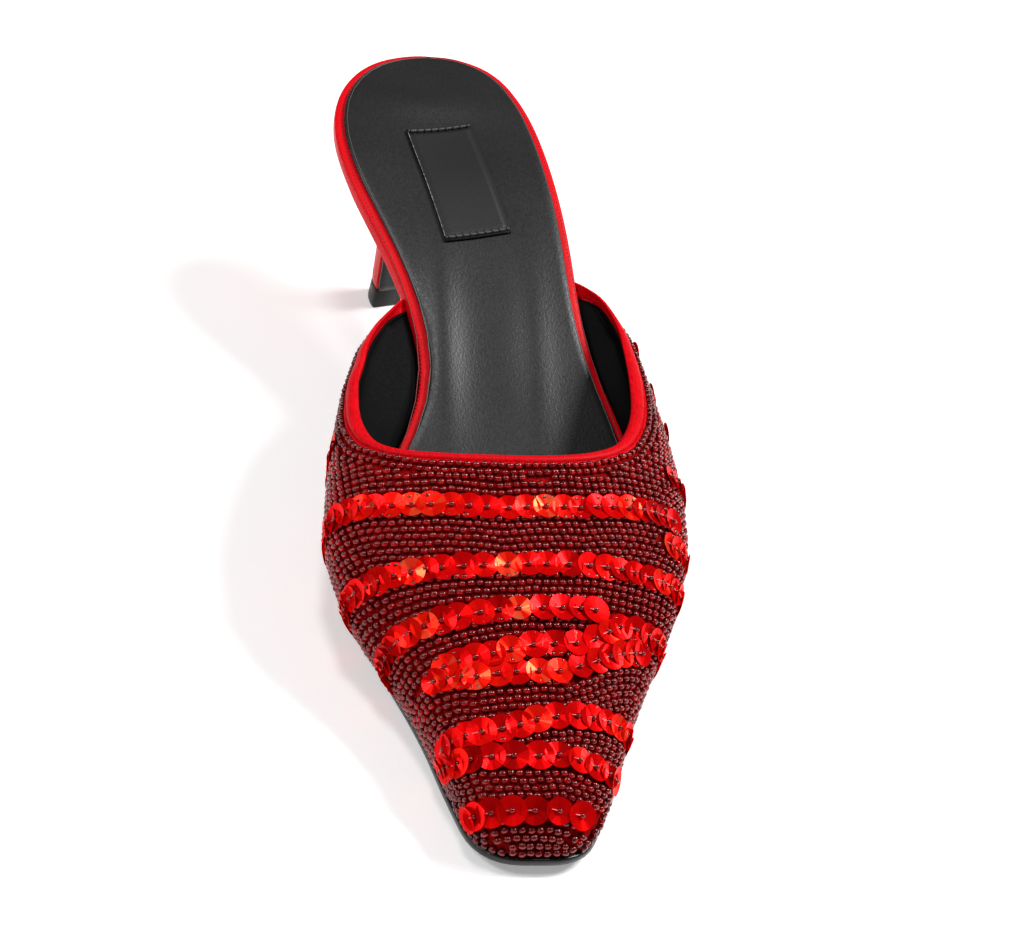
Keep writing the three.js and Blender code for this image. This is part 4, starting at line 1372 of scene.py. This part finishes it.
    def bead_row(self, station):
        """A row of beads over the whole vamp, left open at its edges and where sequins or beads are."""
        placings = []
        for points in self.vamp.paths(station, WHOLE_ROW):
            for seat in seats_along(points, lambda share: sizes().bead_pitch, self.vamp.surface):
                if seat.normal.z < UNDERSIDE or self.near(self.vamp.throat_points, seat, THROAT_CLEARANCE):
                    continue
                if self.near(self.vamp.feather_points, seat, FEATHER_CLEARANCE):
                    continue
                if self.near(self.channels, seat, CHANNEL_CLEARANCE):
                    continue
                if self.free(seat.place, BEAD_ROOM):
                    placings.append(self.bead_placing(seat))
        return placings

    def near(self, points, seat, clearance):
        """Whether the seat lies within the clearance, in millimetres, of one of the points."""
        return points.find(seat.place)[2] < clearance * MM

    def free(self, place, room):
        """Whether no bead lies within the room, in millimetres. A free place is then taken."""
        cell = tuple(math.floor(axis / (2 * MM)) for axis in place)
        for dx in (-1, 0, 1):
            for dy in (-1, 0, 1):
                for dz in (-1, 0, 1):
                    for other in self.taken.get((cell[0] + dx, cell[1] + dy, cell[2] + dz), ()):
                        if (other - place).length < room * MM:
                            return False
        self.taken.setdefault(cell, []).append(place.copy())
        return True

    def bead_placing(self, seat):
        """A bead sewn by hand: a little turned, slid and larger or smaller."""
        jitter = Matrix.Rotation(math.radians(self.sway(BEAD_SWAY)), 4, "Z")
        roll = Matrix.Rotation(math.radians(self.sway(BEAD_ROLL)), 4, "Y")
        along = self.sway(BEAD_SLIDE_ALONG) * MM
        across = self.sway(BEAD_SLIDE_ACROSS) * MM
        slide = Matrix.Translation((along, across, 0))
        size = self.dice.uniform(*BEAD_SCALES)
        matrix = seat.frame(sizes().bead_width * BEAD_SEAT) @ slide @ jitter @ roll
        return matrix, (size, size * self.dice.uniform(*BEAD_FATNESS), size), self.dice.random()


class MULE_OT_stage(bpy.types.Operator):
    """The pale floor, the studio lights and the camera"""

    bl_idname = "mule.stage"
    bl_label = "Stage"

    def execute(self, context):
        scene = context.scene
        self.floor(scene)
        self.camera(scene)
        self.world(scene)
        for row in LAMPS:
            self.lamp(scene, *row)
        scene.view_settings.view_transform = "Standard"
        return {"FINISHED"}

    def floor(self, scene):
        bm = bmesh.new()
        bmesh.ops.create_grid(bm, x_segments=1, y_segments=1, size=FLOOR_SIZE)
        floor = bpy.data.objects.new("floor", as_mesh(bm, "floor"))
        floor.data.materials.append(finish_of(studio_floor))
        scene.collection.objects.link(floor)

    def camera(self, scene):
        data = bpy.data.cameras.new("camera")
        data.lens = CAMERA_LENS
        data.sensor_width = CAMERA_SENSOR
        data.clip_start = 0.01
        camera = bpy.data.objects.new("camera", data)
        camera.location = CAMERA_PLACE
        camera.rotation_euler = [math.radians(angle) for angle in CAMERA_TURN]
        scene.collection.objects.link(camera)
        scene.camera = camera

    def world(self, scene):
        """A white backdrop that the camera sees brighter than the light it gives."""
        world = bpy.data.worlds.new("studio")
        world.use_nodes = True
        nodes, link = world.node_tree.nodes, world.node_tree.links.new
        backdrop = nodes["Background"]
        backdrop.inputs["Color"].default_value = WHITE
        bright = nodes.new("ShaderNodeMapRange")
        bright.inputs["To Min"].default_value = WORLD_LIGHT
        bright.inputs["To Max"].default_value = BACKDROP_LIGHT
        link(nodes.new("ShaderNodeLightPath").outputs["Is Camera Ray"], bright.inputs["Value"])
        link(bright.outputs["Result"], backdrop.inputs["Strength"])
        scene.world = world

    def lamp(self, scene, name, place, width, power):
        """A round lamp that faces the shoe."""
        data = bpy.data.lights.new(name, "AREA")
        data.shape = "DISK"
        data.size = width
        data.energy = power
        lamp = bpy.data.objects.new(name, data)
        lamp.location = place
        lamp.rotation_euler = (-Vector(place)).to_track_quat("-Z", "Y").to_euler()
        scene.collection.objects.link(lamp)


class MULE_PT_panel(bpy.types.Panel):
    """Sizes, colours and pieces of the mule"""

    bl_idname = "MULE_PT_panel"
    bl_label = "Sequin Mule"
    bl_space_type = "VIEW_3D"
    bl_region_type = "UI"
    bl_category = "Mule"

    def draw(self, context):
        for group in (sizes(), colours()):
            for name in group.__annotations__:
                self.layout.prop(group, name)
        for operator in OPERATORS:
            self.layout.operator(operator.bl_idname)


OPERATORS = (
    MULE_OT_sole,
    MULE_OT_footbed,
    MULE_OT_label,
    MULE_OT_heel,
    MULE_OT_upper,
    MULE_OT_beadwork,
    MULE_OT_stage,
)
CLASSES = (MuleSizes, MuleColours) + OPERATORS + (MULE_PT_panel,)

# What one operator leaves for a later one: the sole's surface, and the cloth's and the binding's meshes
work = {}


def register():
    for cls in CLASSES:
        bpy.utils.register_class(cls)
    bpy.types.Scene.mule_sizes = PointerProperty(type=MuleSizes)
    bpy.types.Scene.mule_colours = PointerProperty(type=MuleColours)


def unregister():
    del bpy.types.Scene.mule_colours
    del bpy.types.Scene.mule_sizes
    for cls in reversed(CLASSES):
        bpy.utils.unregister_class(cls)


def main():
    register()
    for operator in OPERATORS:
        group, name = operator.bl_idname.split(".")
        getattr(getattr(bpy.ops, group), name)()


if __name__ == "__main__":
    main()
